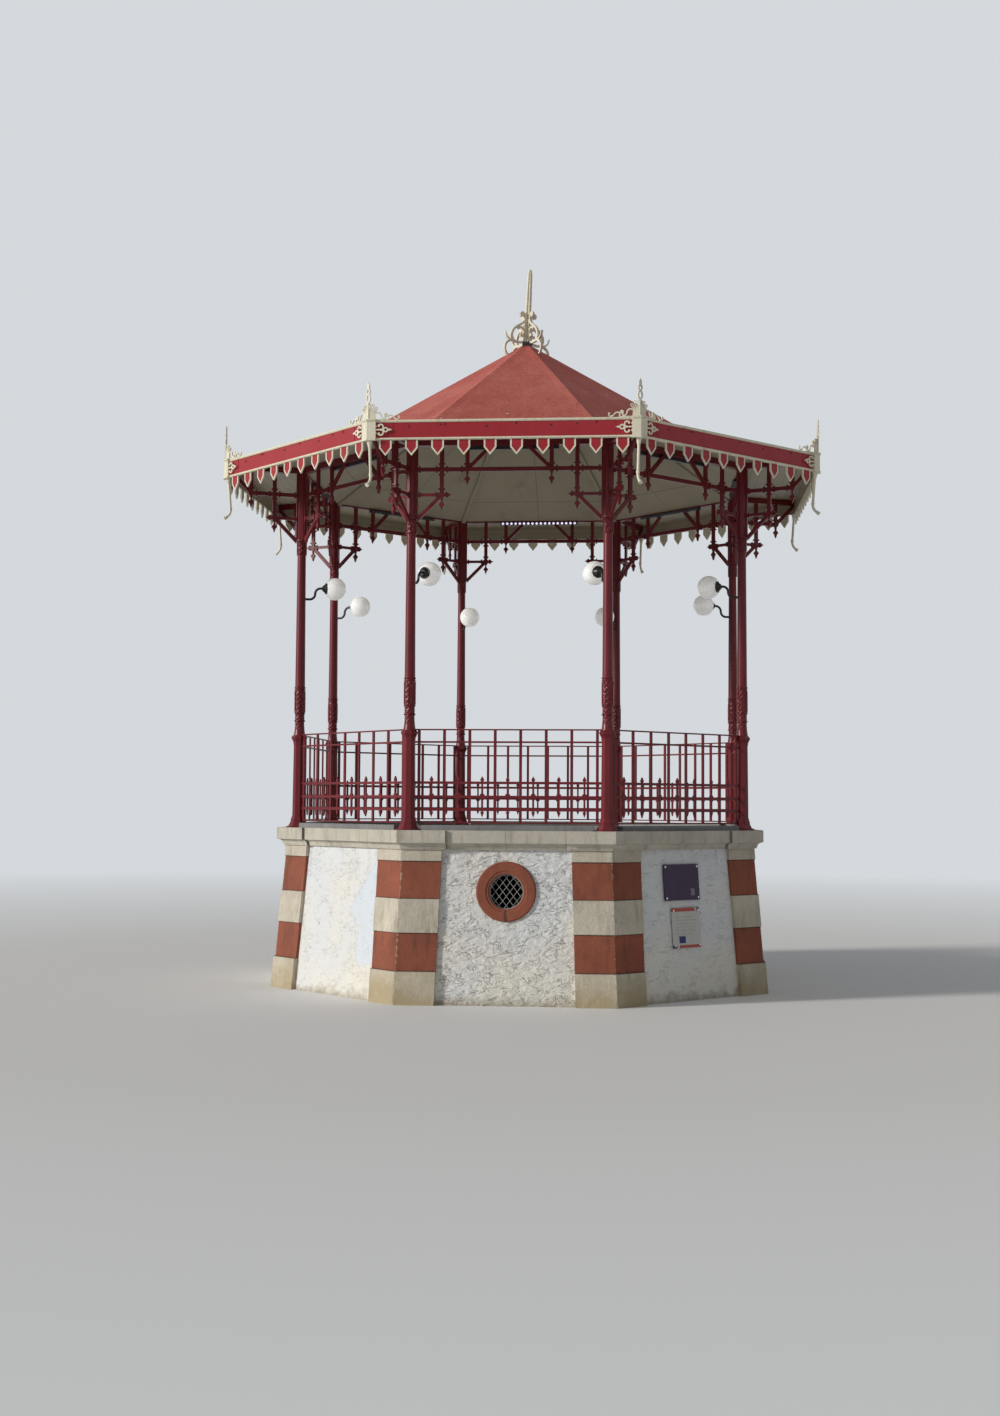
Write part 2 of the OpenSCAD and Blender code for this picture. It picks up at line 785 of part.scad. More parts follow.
module rain_spouts()
  color("cornsilk")
    on_corners(spout_r) translate([0, 0, fascia_z])
      difference() {
        rotate([0, spout_lean, 0]) spout();
        translate([-60, -60, 0]) cube([120, 120, 40]);
      }

// Roof
cover_t = 25;
ceiling_drop = 83;
ceiling_t = 20;
rib_drop = 130;
rib_w = 46;
beam_in = col_a - beam_w / 2;
gutter_z = soffit_z + soffit_t;

module rib_plates() on_corners() translate([0, -rib_w / 2, 5400]) cube([col_r, rib_w, apex_z - 5400]);

module roof_ribs()
  color("darkkhaki")
    intersection() {
      difference() {
        oct_pyramid(cover_t);
        oct_pyramid(rib_drop);
      }
      oct_prism(beam_in, 5500, apex_z);
      rib_plates();
    }

module ceiling_boards()
  color("darkkhaki")
    difference() {
      intersection() {
        oct_pyramid(ceiling_drop);
        oct_prism(beam_in, 5500, apex_z);
      }
      oct_pyramid(ceiling_drop + ceiling_t);
      rib_plates();
    }

module roof_covering()
  color("indianred") {
    difference() {
      oct_pyramid(0, gutter_z);
      oct_pyramid(cover_t, gutter_z - 20);
    }
    difference() {
      oct_prism(fascia_in, gutter_z, gutter_z + 6);
      oct_prism(2420, gutter_z - 1, gutter_z + 7);
    }
  }

// Apex finial: a low cap, four scroll brackets and a cross-shaped spike, all leaning a little
apex_turn = 38;
scroll_t = 26;
scroll_w = 24;
module apex_scroll() {
  stroke([
    [108, 326], [90, 350], [62, 344], [46, 312], [44, 268], [74, 226], [128, 190], [180, 150],
    [212, 100], [216, 50], [194, 6]
  ], 20, 30);
  translate([90, 318]) circle(r = 21, $fn = 32);
  arc([92, 128], 46, scroll_w, 30, 280);
  arc([92, 42], 44, scroll_w, 80, 275);
  stroke([[92, -2], [146, -6], [200, 6]], scroll_w, 28);
  stroke([[196, 4], [248, 12], [288, 46], [306, 100]], 28, 6);
  stroke([[196, 4], [250, -10], [290, -48], [302, -98], [288, -146], [258, -178]], 26, 20);
}

spike_t = 22;
spike_foot_w = 84;
spike_top_w = 52;
module spike_fin()
  polygon([
    [-spike_foot_w / 2, 0], [spike_foot_w / 2, 0], [spike_top_w / 2, spike_h - 60], [18, spike_h - 14],
    [8, spike_h], [-8, spike_h], [-18, spike_h - 14], [-spike_top_w / 2, spike_h - 60]
  ]);

module apex_finial()
  color("beige")
    difference() {
      translate([0, 0, apex_z]) {
        translate([0, 0, -60]) rotate([0, 0, apex_turn]) cylinder(h = 70, r = 64, $fn = 4);
        rotate([0, spike_lean, 0]) rotate([0, 0, apex_turn]) {
          for (k = [0:3]) rotate([0, 0, 90 * k]) upright_plate(scroll_t) apex_scroll();
          for (k = [0, 1]) rotate([0, 0, 90 * k]) upright_plate(spike_t) spike_fin();
        }
      }
      oct_pyramid(0);
    }

// Lamps: an opal globe on every column, its cup facing the column, on a bent arm
globe_r = 125;
globe_flat = 96;
lamp_r = 2234;
lamp_z = 4366;
arm_d = 26;
arm_bend = 63;
module arm_quarter(turn)
  rotate([90, 0, 0]) rotate([0, 0, turn]) rotate_extrude(angle = 90, $fn = 48)
    translate([arm_bend, 0]) circle(d = arm_d, $fn = 32);

module lamp_arm() {
  cup_x = lamp_r + globe_flat;
  bend_x = cup_x + 64;
  translate([cup_x, 0, lamp_z]) rotate([0, 90, 0]) {
    cylinder(h = 12, r = 62, $fn = 48);
    translate([0, 0, 12]) cylinder(h = 34, r1 = 52, r2 = 26, $fn = 48);
    cylinder(h = 64, r = arm_d / 2, $fn = 32);
  }
  translate([bend_x, 0, lamp_z - arm_bend]) arm_quarter(0);
  translate([bend_x + 2 * arm_bend, 0, lamp_z - arm_bend]) arm_quarter(180);
  translate([bend_x + 2 * arm_bend, 0, lamp_z - 2 * arm_bend]) rotate([0, 90, 0])
    cylinder(h = col_r - bend_x - 2 * arm_bend, r = arm_d / 2, $fn = 32);
}

module lamp_arms()
  color("dimgray")
    for (i = [0:7])
      difference() {
        on_corner(i) lamp_arm();
        on_corner(i, col_r) shaft();
      }

module lamp_globes()
  color("white")
    on_corners(lamp_r) translate([0, 0, lamp_z])
      difference() {
        sphere(r = globe_r, $fn = 64);
        translate([globe_flat, -100, -100]) cube([60, 200, 200]);
      }

// Slim light bars under the inner half of each eaves beam
light_l = 1000;
light_w = 40;
light_h = 34;
module light_bars()
  color("gray")
    on_sides()
      translate([-light_l / 2, -beam_in - light_w / 2, beam_z - light_h]) cube([light_l, light_w, light_h]);

module column_front_left() column_at(0);
module column_front_right() column_at(1);
module column_right_front() column_at(2);
module column_right_rear() column_at(3);
module column_rear_right() column_at(4);
module column_rear_left() column_at(5);
module column_left_rear() column_at(6);
module column_left_front() column_at(7);
module railing_front() railing_at(0);
module railing_front_right() railing_at(1);
module railing_right() railing_at(2);
module railing_rear_right() railing_at(3);
module railing_rear() railing_at(4);
module railing_rear_left() railing_at(5);
module railing_left() railing_at(6);
module railing_front_left() railing_at(7);
module frieze_front() frieze_at(0);
module frieze_front_right() frieze_at(1);
module frieze_right() frieze_at(2);
module frieze_rear_right() frieze_at(3);
module frieze_rear() frieze_at(4);
module frieze_rear_left() frieze_at(5);
module frieze_left() frieze_at(6);
module frieze_front_left() frieze_at(7);

plinth_walls();
pier_stones();
pier_painted_blocks();
cornice();
deck_floor();
kerb_stones();
vent_surrounds();
vent_grilles();
wall_plates();
column_front_left();
column_front_right();
column_right_front();
column_right_rear();
column_rear_right();
column_rear_left();
column_left_rear();
column_left_front();
railing_front();
railing_front_right();
railing_right();
railing_rear_right();
railing_rear();
railing_rear_left();
railing_left();
railing_front_left();
frieze_front();
frieze_front_right();
frieze_right();
frieze_rear_right();
frieze_rear();
frieze_rear_left();
frieze_left();
frieze_front_left();
corner_brackets();
eaves_beams();
soffit_boards();
fascia_boards();
valance_tabs();
corner_boxes();
corner_finials();
rain_spouts();
roof_ribs();
ceiling_boards();
roof_covering();
apex_finial();
lamp_arms();
lamp_globes();
light_bars();
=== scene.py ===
import json
import math
import bpy
from mathutils import Matrix, Vector

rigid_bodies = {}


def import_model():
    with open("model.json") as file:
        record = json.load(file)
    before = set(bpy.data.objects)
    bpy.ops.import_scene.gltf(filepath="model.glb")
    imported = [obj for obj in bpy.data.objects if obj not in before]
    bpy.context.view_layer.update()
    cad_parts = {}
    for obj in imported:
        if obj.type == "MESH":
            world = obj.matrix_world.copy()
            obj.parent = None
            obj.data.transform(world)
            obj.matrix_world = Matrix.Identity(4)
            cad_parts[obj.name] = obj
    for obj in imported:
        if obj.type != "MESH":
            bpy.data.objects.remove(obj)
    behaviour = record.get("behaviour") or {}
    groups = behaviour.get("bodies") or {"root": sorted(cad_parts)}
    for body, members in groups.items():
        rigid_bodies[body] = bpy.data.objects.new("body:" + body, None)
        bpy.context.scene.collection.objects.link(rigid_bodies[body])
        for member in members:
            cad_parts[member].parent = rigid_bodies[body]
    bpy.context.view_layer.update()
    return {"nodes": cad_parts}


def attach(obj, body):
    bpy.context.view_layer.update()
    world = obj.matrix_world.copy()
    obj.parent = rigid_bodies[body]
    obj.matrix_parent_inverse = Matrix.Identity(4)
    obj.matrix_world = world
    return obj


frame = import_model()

cadNodes = frame["nodes"]
sideCount = 8
sideAngle = math.pi / 4
tanHalf = math.tan(sideAngle / 2)


# Small helpers

def deselectAll():
    if bpy.context.mode != 'OBJECT':
        bpy.ops.object.mode_set(mode='OBJECT')
    bpy.ops.object.select_all(action='DESELECT')


def addBox(size, place):
    deselectAll()
    bpy.ops.mesh.primitive_cube_add(size=1, location=place)
    piece = bpy.context.object
    piece.scale = size
    bpy.ops.object.transform_apply(location=False, rotation=False, scale=True)
    return piece


def selectFaces(piece, wanted):
    bpy.ops.object.mode_set(mode='OBJECT')
    for part in (piece.data.vertices, piece.data.edges, piece.data.polygons):
        part.foreach_set('select', [False] * len(part))
    for face in piece.data.polygons:
        face.select = wanted(face)
    bpy.ops.object.mode_set(mode='EDIT')
    bpy.ops.mesh.select_mode(type='FACE')


def placeCopies(piece, places, name):
    copies = []
    for place in places:
        twin = piece.copy()
        twin.data = piece.data.copy()
        bpy.context.collection.objects.link(twin)
        twin.matrix_world = place @ piece.matrix_world
        copies.append(twin)
    bpy.data.objects.remove(piece)
    deselectAll()
    for twin in copies:
        twin.select_set(True)
    bpy.context.view_layer.objects.active = copies[0]
    bpy.ops.object.join()
    joined = bpy.context.object
    bpy.ops.object.transform_apply(location=True, rotation=True, scale=True)
    joined.name = name
    return joined


def finishPiece(piece, material, smooth=None):
    deselectAll()
    piece.select_set(True)
    bpy.context.view_layer.objects.active = piece
    if smooth:
        bpy.ops.object.shade_smooth_by_angle(angle=math.radians(smooth))
    piece.data.materials.clear()
    piece.data.materials.append(material)
    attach(piece, "root")
    deselectAll()


def onSide(i, place):
    return Matrix.Rotation(sideAngle * i, 4, 'Z') @ Matrix.Translation(place)


# Shader nodes: a socket takes a link or a plain value

def feed(tree, source, socket):
    if hasattr(source, 'is_linked'):
        tree.links.new(source, socket)
    else:
        socket.default_value = source


def setNode(tree, node, **values):
    # A name that is no socket's is a setting of the node itself
    for key, value in values.items():
        label = key.replace('_', ' ')
        if label in node.inputs:
            feed(tree, value, node.inputs[label])
        else:
            setattr(node, key, value)
    return node


def addNode(tree, kind, **values):
    return setNode(tree, tree.nodes.new(kind), **values)


def remap(tree, source, low, high, outLow=0.0, outHigh=1.0):
    node = addNode(tree, 'ShaderNodeMapRange', Value=source, From_Min=low, From_Max=high,
                   To_Min=outLow, To_Max=outHigh)
    return node.outputs['Result']


def mixColour(tree, factor, first, second):
    node = addNode(tree, 'ShaderNodeMix', data_type='RGBA')
    for source, place in zip((factor, first, second), (0, 6, 7)):  # its factor and two colours
        feed(tree, source, node.inputs[place])
    return node.outputs[2]


def mathNode(tree, operation, first, second=0.5, clamp=False):
    node = addNode(tree, 'ShaderNodeMath', operation=operation, use_clamp=clamp)
    feed(tree, first, node.inputs[0])
    feed(tree, second, node.inputs[1])
    return node.outputs[0]


def chain(tree, operation, values):
    result = values[0]
    for value in values[1:]:
        result = mathNode(tree, operation, result, value)
    return result


def product(tree, *values):
    return chain(tree, 'MULTIPLY', values)


def total(tree, *values):
    return chain(tree, 'ADD', values)


def strongest(tree, *values):
    return chain(tree, 'MAXIMUM', values)


def difference(tree, first, second):
    return mathNode(tree, 'SUBTRACT', first, second)


def absolute(tree, value):
    return mathNode(tree, 'ABSOLUTE', value)


def above(tree, value, limit):
    return mathNode(tree, 'GREATER_THAN', value, limit)


def below(tree, value, limit):
    return mathNode(tree, 'LESS_THAN', value, limit)


def between(tree, value, low, high):
    return product(tree, above(tree, value, low), below(tree, value, high))


def splitPlace(tree, vector):
    return addNode(tree, 'ShaderNodeSeparateXYZ', Vector=vector).outputs


def noiseValue(tree, vector, scale, detail, roughness, stretch=None, distortion=0.0):
    if stretch:
        vector = addNode(tree, 'ShaderNodeMapping', Vector=vector, Scale=stretch).outputs[0]
    node = addNode(tree, 'ShaderNodeTexNoise', Vector=vector, Scale=scale, Detail=detail,
                   Roughness=roughness, Distortion=distortion)
    return node.outputs['Fac']


def sway(tree, vector, reach, scale, detail, roughness):
    # Noise that swings both ways by the reach, for an edge that isn't straight
    noise = noiseValue(tree, vector, scale, detail, roughness)
    return remap(tree, noise, 0.3, 0.7, -reach, reach)


def scatteredDots(tree, vector, scale, reach):
    dots = addNode(tree, 'ShaderNodeTexVoronoi', Vector=vector, Scale=scale)
    return below(tree, dots.outputs['Distance'], reach)


# Shader groups, built once and placed in each material

def newGroup(name, inputs, outputs):
    group = bpy.data.node_groups.new(name, 'ShaderNodeTree')
    for label, kind, value in inputs:
        socket = group.interface.new_socket(label, in_out='INPUT', socket_type='NodeSocket' + kind)
        if value is not None:
            socket.default_value = value
    for label, kind in outputs:
        group.interface.new_socket(label, in_out='OUTPUT', socket_type='NodeSocket' + kind)
    given = group.nodes.new('NodeGroupInput').outputs
    return group, given, group.nodes.new('NodeGroupOutput')


def buildWornPaint():
    group, given, out = newGroup('WornPaint', [
        ('Vector', 'Vector', None),
        ('Paint', 'Color', (0.5, 0.1, 0.1, 1)),
        ('Faded', 'Color', (0.6, 0.2, 0.2, 1)),
        ('Grime', 'Color', (0.1, 0.08, 0.06, 1)),
        ('Fading', 'Float', 0.5),
        ('Grime Amount', 'Float', 0.3),
        ('Patch Scale', 'Float', 3.0),
        ('Sheen Roughness', 'Float', 0.4),
    ], [('Colour', 'Color'), ('Roughness', 'Float'), ('Height', 'Float')])
    vector = given['Vector']
    patches = remap(group, noiseValue(group, vector, given['Patch Scale'], 6, 0.6), 0.35, 0.7)
    fading = product(group, patches, given['Fading'])
    colour = mixColour(group, fading, given['Paint'], given['Faded'])
    runs = remap(group, noiseValue(group, vector, 5.0, 5, 0.6, (3.0, 3.0, 0.35)), 0.5, 0.78)
    specks = remap(group, noiseValue(group, vector, 55.0, 3, 0.7), 0.55, 0.75)
    grime = product(group, strongest(group, runs, specks), given['Grime Amount'])
    colour = mixColour(group, grime, colour, given['Grime'])
    rough = total(group, given['Sheen Roughness'], product(group, grime, 0.35))
    brush = noiseValue(group, vector, 90.0, 3, 0.6)
    setNode(group, out, Colour=colour, Roughness=rough, Height=brush)
    return group


def buildWeatheredStone():
    group, given, out = newGroup('WeatheredStone', [
        ('Vector', 'Vector', None),
        ('Stone', 'Color', (0.5, 0.5, 0.48, 1)),
        ('Shade', 'Color', (0.3, 0.3, 0.28, 1)),
        ('Dirt', 'Color', (0.12, 0.1, 0.08, 1)),
        ('Dirt Amount', 'Float', 0.3),
        ('Grain Scale', 'Float', 60.0),
    ], [('Colour', 'Color'), ('Height', 'Float')])
    vector, shade = given['Vector'], given['Shade']
    dirt, amount = given['Dirt'], given['Dirt Amount']
    broad = remap(group, noiseValue(group, vector, 2.6, 6, 0.65), 0.3, 0.7)
    grain = noiseValue(group, vector, given['Grain Scale'], 5, 0.7)
    colour = mixColour(group, broad, given['Stone'], shade)
    colour = mixColour(group, remap(group, grain, 0.46, 0.64, 0.0, 0.5), colour, shade)
    patina = remap(group, noiseValue(group, vector, 9.0, 5, 0.7), 0.55, 0.75)
    colour = mixColour(group, product(group, patina, amount, 0.45), colour, dirt)
    runs = remap(group, noiseValue(group, vector, 4.0, 6, 0.65, (2.6, 2.6, 0.5)), 0.52, 0.72)
    colour = mixColour(group, product(group, runs, amount), colour, dirt)
    setNode(group, out, Colour=colour, Height=grain)
    return group


def buildRoughcast():
    # Thrown plaster, trowelled on the slant into soft lumps with short creases between them
    group, given, out = newGroup('RoughcastCoat', [
        ('Vector', 'Vector', None),
        ('Lump Scale', 'Float', 12.0),
    ], [('Height', 'Float'), ('Pits', 'Float')])
    vector = given['Vector']
    slant = addNode(group, 'ShaderNodeMapping', Vector=vector,
                    Rotation=(0, 0, math.radians(-40)), Scale=(0.85, 1.6, 1.0)).outputs[0]
    lumps = noiseValue(group, slant, given['Lump Scale'], 3, 0.5, distortion=0.7)
    folds = noiseValue(group, slant, 9.0, 2, 0.5, distortion=1.2)
    crease = absolute(group, difference(group, folds, 0.5))
    broken = remap(group, noiseValue(group, vector, 9.0, 2, 0.5), 0.48, 0.56)
    crease = product(group, remap(group, crease, 0.004, 0.030, 1.0, 0.0), broken)
    grit = noiseValue(group, vector, 70.0, 3, 0.7)
    height = difference(group, lumps, product(group, crease, 0.22))
    height = total(group, height, product(group, grit, 0.05))
    setNode(group, out, Height=height, Pits=crease)
    return group


def buildSidePlace():
    # Where a point lies on its own side of the octagon: along it, out from the centre, and up
    group, given, out = newGroup('SidePlace', [('Vector', 'Vector', None)], [
        ('Along', 'Float'), ('Out', 'Float'), ('Up', 'Float'), ('Flat', 'Vector')])
    x, y, z = splitPlace(group, given['Vector'])
    turn = mathNode(group, 'ARCTAN2', x, product(group, y, -1.0))
    turns = mathNode(group, 'ROUND', mathNode(group, 'DIVIDE', turn, sideAngle))
    turn = product(group, turns, sideAngle)
    sine = mathNode(group, 'SINE', turn)
    cosine = mathNode(group, 'COSINE', turn)
    along = total(group, product(group, x, cosine), product(group, y, sine))
    outward = difference(group, product(group, x, sine), product(group, y, cosine))
    apart = total(group, outward, product(group, turns, 7.0))  # no two sides get the same pattern
    flat = addNode(group, 'ShaderNodeCombineXYZ', X=along, Y=z, Z=apart).outputs[0]
    setNode(group, out, Along=along, Out=outward, Up=z, Flat=flat)
    return group


def buildJointLines():
    group, given, out = newGroup('JointLines', [
        ('Value', 'Float', 0.0),
        ('Spacing', 'Float', 0.1),
        ('Width', 'Float', 0.004),
    ], [('Mask', 'Float')])
    fold = mathNode(group, 'PINGPONG', given['Value'], product(group, given['Spacing'], 0.5))
    away = mathNode(group, 'DIVIDE', fold, given['Width'])
    setNode(group, out, Mask=mathNode(group, 'SUBTRACT', 1.0, away, clamp=True))
    return group


wornPaint = buildWornPaint()
weatheredStone = buildWeatheredStone()
roughcastCoat = buildRoughcast()
sidePlace = buildSidePlace()
jointLines = buildJointLines()
print("shader groups built")


# Materials

def startMaterial(name, roughness=0.5):
    material = bpy.data.materials.new(name)
    material.use_nodes = True
    tree = material.node_tree
    shader = tree.nodes['Principled BSDF']
    shader.inputs['Roughness'].default_value = roughness
    where = tree.nodes.new('ShaderNodeTexCoord').outputs['Object']
    return material, tree, shader, where


def placeGroup(tree, group, **values):
    return addNode(tree, 'ShaderNodeGroup', node_tree=group, **values).outputs


def placeOnSide(tree, where):
    return placeGroup(tree, sidePlace, Vector=where)


def jointMask(tree, value, spacing, width):
    return placeGroup(tree, jointLines, Value=value, Spacing=spacing, Width=width)['Mask']


loneSpacing = 8.0  # wider than the part, so that a joint is drawn once


def jointAt(tree, value, place, width):
    return jointMask(tree, difference(tree, value, place), loneSpacing, width)


def distanceToCorner(tree, along, outward):
    return difference(tree, product(tree, outward, tanHalf), absolute(tree, along))


def bumpFrom(tree, shader, height, strength, distance):
    bump = addNode(tree, 'ShaderNodeBump', Height=height, Strength=strength, Distance=distance)
    tree.links.new(bump.outputs['Normal'], shader.inputs['Normal'])


def paintedMaterial(name, coat, brush=0.12, shine=0.35):
    material, tree, shader, where = startMaterial(name)
    paint = placeGroup(tree, wornPaint, Vector=where, **coat)
    setNode(tree, shader, Base_Color=paint['Colour'], Roughness=paint['Roughness'],
            Specular_IOR_Level=shine)
    bumpFrom(tree, shader, paint['Height'], brush, 0.002)
    return material


pierStart = 0.45  # from the middle of a side to where its piers begin


def stoneMaterial(name, look):
    material, tree, shader, where = startMaterial(name, look.get("rough", 0.9))
    stone = placeGroup(tree, weatheredStone, Vector=where, Stone=look["stone"], Shade=look["shade"],
                       Dirt=look["dirt"], Dirt_Amount=look["amount"], Grain_Scale=look["grain"])
    colour = stone['Colour']
    along, outward, up, flat = placeOnSide(tree, where)
    hewn = noiseValue(tree, flat, 15.0, 4, 0.6)
    height = total(tree, product(tree, stone['Height'], 0.45), hewn)
    if "foot" in look:
        ragged = total(tree, up, sway(tree, flat, 0.16, 3.5, 5, 0.6))
        colour = mixColour(tree, remap(tree, ragged, 0.02, 0.40, 0.85, 0.0), colour, look["foot"])
    if "chip" in look:
        # Knocked arris of the corner piers
        bites = remap(tree, noiseValue(tree, where, 26.0, 4, 0.65), 0.35, 0.65, -0.010, 0.016)
        ragged = total(tree, distanceToCorner(tree, along, outward), bites)
        knocked = remap(tree, ragged, 0.002, 0.007, 1.0, 0.0)
        colour = mixColour(tree, product(tree, knocked, 0.75), colour, look["chip"])
        height = difference(tree, height, knocked)
    joints = []
    # Dark lines at the courses: the joints, with painted shade where a course overhangs the one
    # below
    if "courses" in look:
        onPier = above(tree, absolute(tree, along), pierStart)
        joints += [product(tree, jointAt(tree, up, level, 0.0055), onPier)
                   for level in look["courses"]]
    if "spacing" in look:
        shifted = total(tree, along, look["shift"])
        joints.append(jointMask(tree, shifted, look["spacing"], 0.004))
    if joints:
        lines = strongest(tree, *joints)
        colour = mixColour(tree, product(tree, lines, 0.75), colour, look["joint"])
        height = difference(tree, height, lines)
    if "drip" in look:
        d = look["drip"]
        ragged = total(tree, along, sway(tree, where, 0.008, 30.0, 3, 0.6))
        drip = product(tree, between(tree, ragged, d["left"], d["right"]),
                       between(tree, up, d["low"], d["high"]),
                       below(tree, splitPlace(tree, where)['Y'], d["front"]))
        colour = mixColour(tree, product(tree, drip, 0.8), colour, look["dirt"])
    setNode(tree, shader, Base_Color=colour, Specular_IOR_Level=0.3)
    bumpFrom(tree, shader, height, look["relief"], 0.010)
    return material


columnRelief = {"circle": 2.6131, "bands": ((2.80, 3.222), (4.742, 4.852)), "leaves": 7.0,
                "tier": 118.0, "hollow": (0.05, 0.01, 0.011, 1)}


def buildIronPaint():
    # Cast leaves round the columns' drums and bells stand out under the paint
    material, tree, shader, where = startMaterial('OxbloodIron')
    c = columnRelief
    paint = placeGroup(tree, wornPaint, Vector=where, Paint=(0.150, 0.0120, 0.0175, 1),
                       Faded=(0.205, 0.023, 0.029, 1), Grime=(0.033, 0.011, 0.010, 1),
                       Fading=0.55, Grime_Amount=0.5, Patch_Scale=2.6, Sheen_Roughness=0.32)
    x, y, z = splitPlace(tree, where)
    turn = difference(tree, mathNode(tree, 'ARCTAN2', y, x), sideAngle / 2)
    turns = mathNode(tree, 'ROUND', mathNode(tree, 'DIVIDE', turn, sideAngle))
    turn = total(tree, product(tree, turns, sideAngle), sideAngle / 2)
    fromX = difference(tree, x, product(tree, mathNode(tree, 'COSINE', turn), c["circle"]))
    fromY = difference(tree, y, product(tree, mathNode(tree, 'SINE', turn), c["circle"]))
    aroundColumn = mathNode(tree, 'ARCTAN2', fromY, fromX)
    wander = sway(tree, where, 1.6, 14.0, 3, 0.6)
    leaves = mathNode(tree, 'SINE', total(tree, product(tree, aroundColumn, c["leaves"]), wander))
    tiers = mathNode(tree, 'SINE', total(tree, product(tree, z, c["tier"]), wander))
    band = strongest(tree, *[between(tree, z, low, high) for low, high in c["bands"]])
    relief = product(tree, leaves, tiers, band)
    # Painted shade in the hollows of the cast leaves
    hollows = remap(tree, relief, 0.15, -0.7, 0.0, 0.32)
    colour = mixColour(tree, hollows, paint['Colour'], c["hollow"])
    setNode(tree, shader, Base_Color=colour, Roughness=paint['Roughness'], Specular_IOR_Level=0.28)
    height = total(tree, relief, product(tree, paint['Height'], 0.12))
    bumpFrom(tree, shader, height, 0.55, 0.0055)
    return material


crimsonCoat = {"Paint": (0.35, 0.020, 0.030, 1), "Faded": (0.40, 0.042, 0.050, 1),
               "Grime": (0.17, 0.025, 0.025, 1), "Fading": 0.6, "Patch_Scale": 2.2,
               "Sheen_Roughness": 0.36}

ironPaint = buildIronPaint()
creamPaint = paintedMaterial('CreamTrim', {
    "Paint": (0.80, 0.75, 0.58, 1), "Faded": (0.72, 0.68, 0.55, 1), "Grime": (0.28, 0.25, 0.17, 1),
    "Fading": 0.7, "Grime_Amount": 0.4, "Patch_Scale": 6.0, "Sheen_Roughness": 0.42})
redPaint = paintedMaterial('CrimsonPaint', {"Grime_Amount": 0.25, **crimsonCoat},
                           brush=0.15, shine=0.25)
darkPaint = paintedMaterial('DarkLampPaint', {
    "Paint": (0.022, 0.019, 0.021, 1), "Faded": (0.045, 0.036, 0.036, 1),
    "Grime": (0.02, 0.016, 0.014, 1), "Fading": 0.5, "Grime_Amount": 0.2, "Patch_Scale": 4.0,
    "Sheen_Roughness": 0.35})
housingPaint = paintedMaterial('LightHousing', {
    "Paint": (0.030, 0.028, 0.034, 1), "Faded": (0.055, 0.050, 0.060, 1),
    "Grime": (0.03, 0.026, 0.03, 1), "Fading": 0.4, "Grime_Amount": 0.3, "Patch_Scale": 6.0,
    "Sheen_Roughness": 0.4})
wirePaint = paintedMaterial('GalvanisedWire', {
    "Paint": (0.33, 0.33, 0.315, 1), "Faded": (0.27, 0.27, 0.255, 1),
    "Grime": (0.20, 0.17, 0.13, 1), "Fading": 0.7, "Grime_Amount": 0.4, "Patch_Scale": 9.0,
    "Sheen_Roughness": 0.45})

courseLevels = (0.330, 0.705, 1.045, 1.416)
terracotta = stoneMaterial('TerracottaPaint', {
    "stone": (0.32, 0.098, 0.055, 1), "shade": (0.215, 0.066, 0.040, 1),
    "dirt": (0.070, 0.038, 0.026, 1), "amount": 0.5, "grain": 34.0, "rough": 0.8,
    "chip": (0.43, 0.33, 0.22, 1), "courses": courseLevels, "joint": (0.06, 0.035, 0.025, 1),
    "relief": 0.5,
    "drip": {"left": -0.016, "right": 0.010, "low": 0.820, "high": 0.940, "front": -2.3}})
greyStone = stoneMaterial('PierStone', {
    "stone": (0.65, 0.60, 0.495, 1), "shade": (0.46, 0.415, 0.335, 1),
    "dirt": (0.19, 0.15, 0.10, 1), "amount": 0.5, "grain": 42.0, "foot": (0.40, 0.32, 0.19, 1),
    "chip": (0.62, 0.59, 0.50, 1), "courses": courseLevels, "joint": (0.10, 0.08, 0.06, 1),
    "relief": 0.8})
paleStone = stoneMaterial('CorniceStone', {
    "stone": (0.60, 0.565, 0.48, 1), "shade": (0.45, 0.42, 0.355, 1),
    "dirt": (0.22, 0.18, 0.125, 1), "amount": 0.5, "grain": 52.0, "shift": 0.0, "spacing": 0.6,
    "joint": (0.12, 0.105, 0.085, 1), "relief": 0.45})
deckStone = stoneMaterial('DeckPaving', {
    "stone": (0.42, 0.41, 0.38, 1), "shade": (0.33, 0.32, 0.30, 1), "dirt": (0.16, 0.14, 0.12, 1),
    "amount": 0.5, "grain": 45.0, "relief": 0.2})
kerbStone = stoneMaterial('KerbStone', {
    "stone": (0.29, 0.29, 0.285, 1), "shade": (0.21, 0.21, 0.21, 1), "dirt": (0.11, 0.10, 0.09, 1),
    "amount": 0.45, "grain": 70.0, "shift": 0.28, "spacing": 0.86, "joint": (0.06, 0.055, 0.05, 1),
    "relief": 0.35})


wallTint = {"skylit_cool": (0.70, 0.715, 0.73, 1), "sunlit_warm": (0.75, 0.725, 0.65, 1),
            "pit_shade": (0.20, 0.19, 0.17, 1), "foot": (0.33, 0.28, 0.20, 1),
            "run": (0.45, 0.43, 0.38, 1), "repair": (0.64, 0.70, 0.78, 1),
            "inside": (0.035, 0.03, 0.027, 1), "inside_below": 2.30,
            "coarse_within": 0.9, "calm_beyond": 1.1}


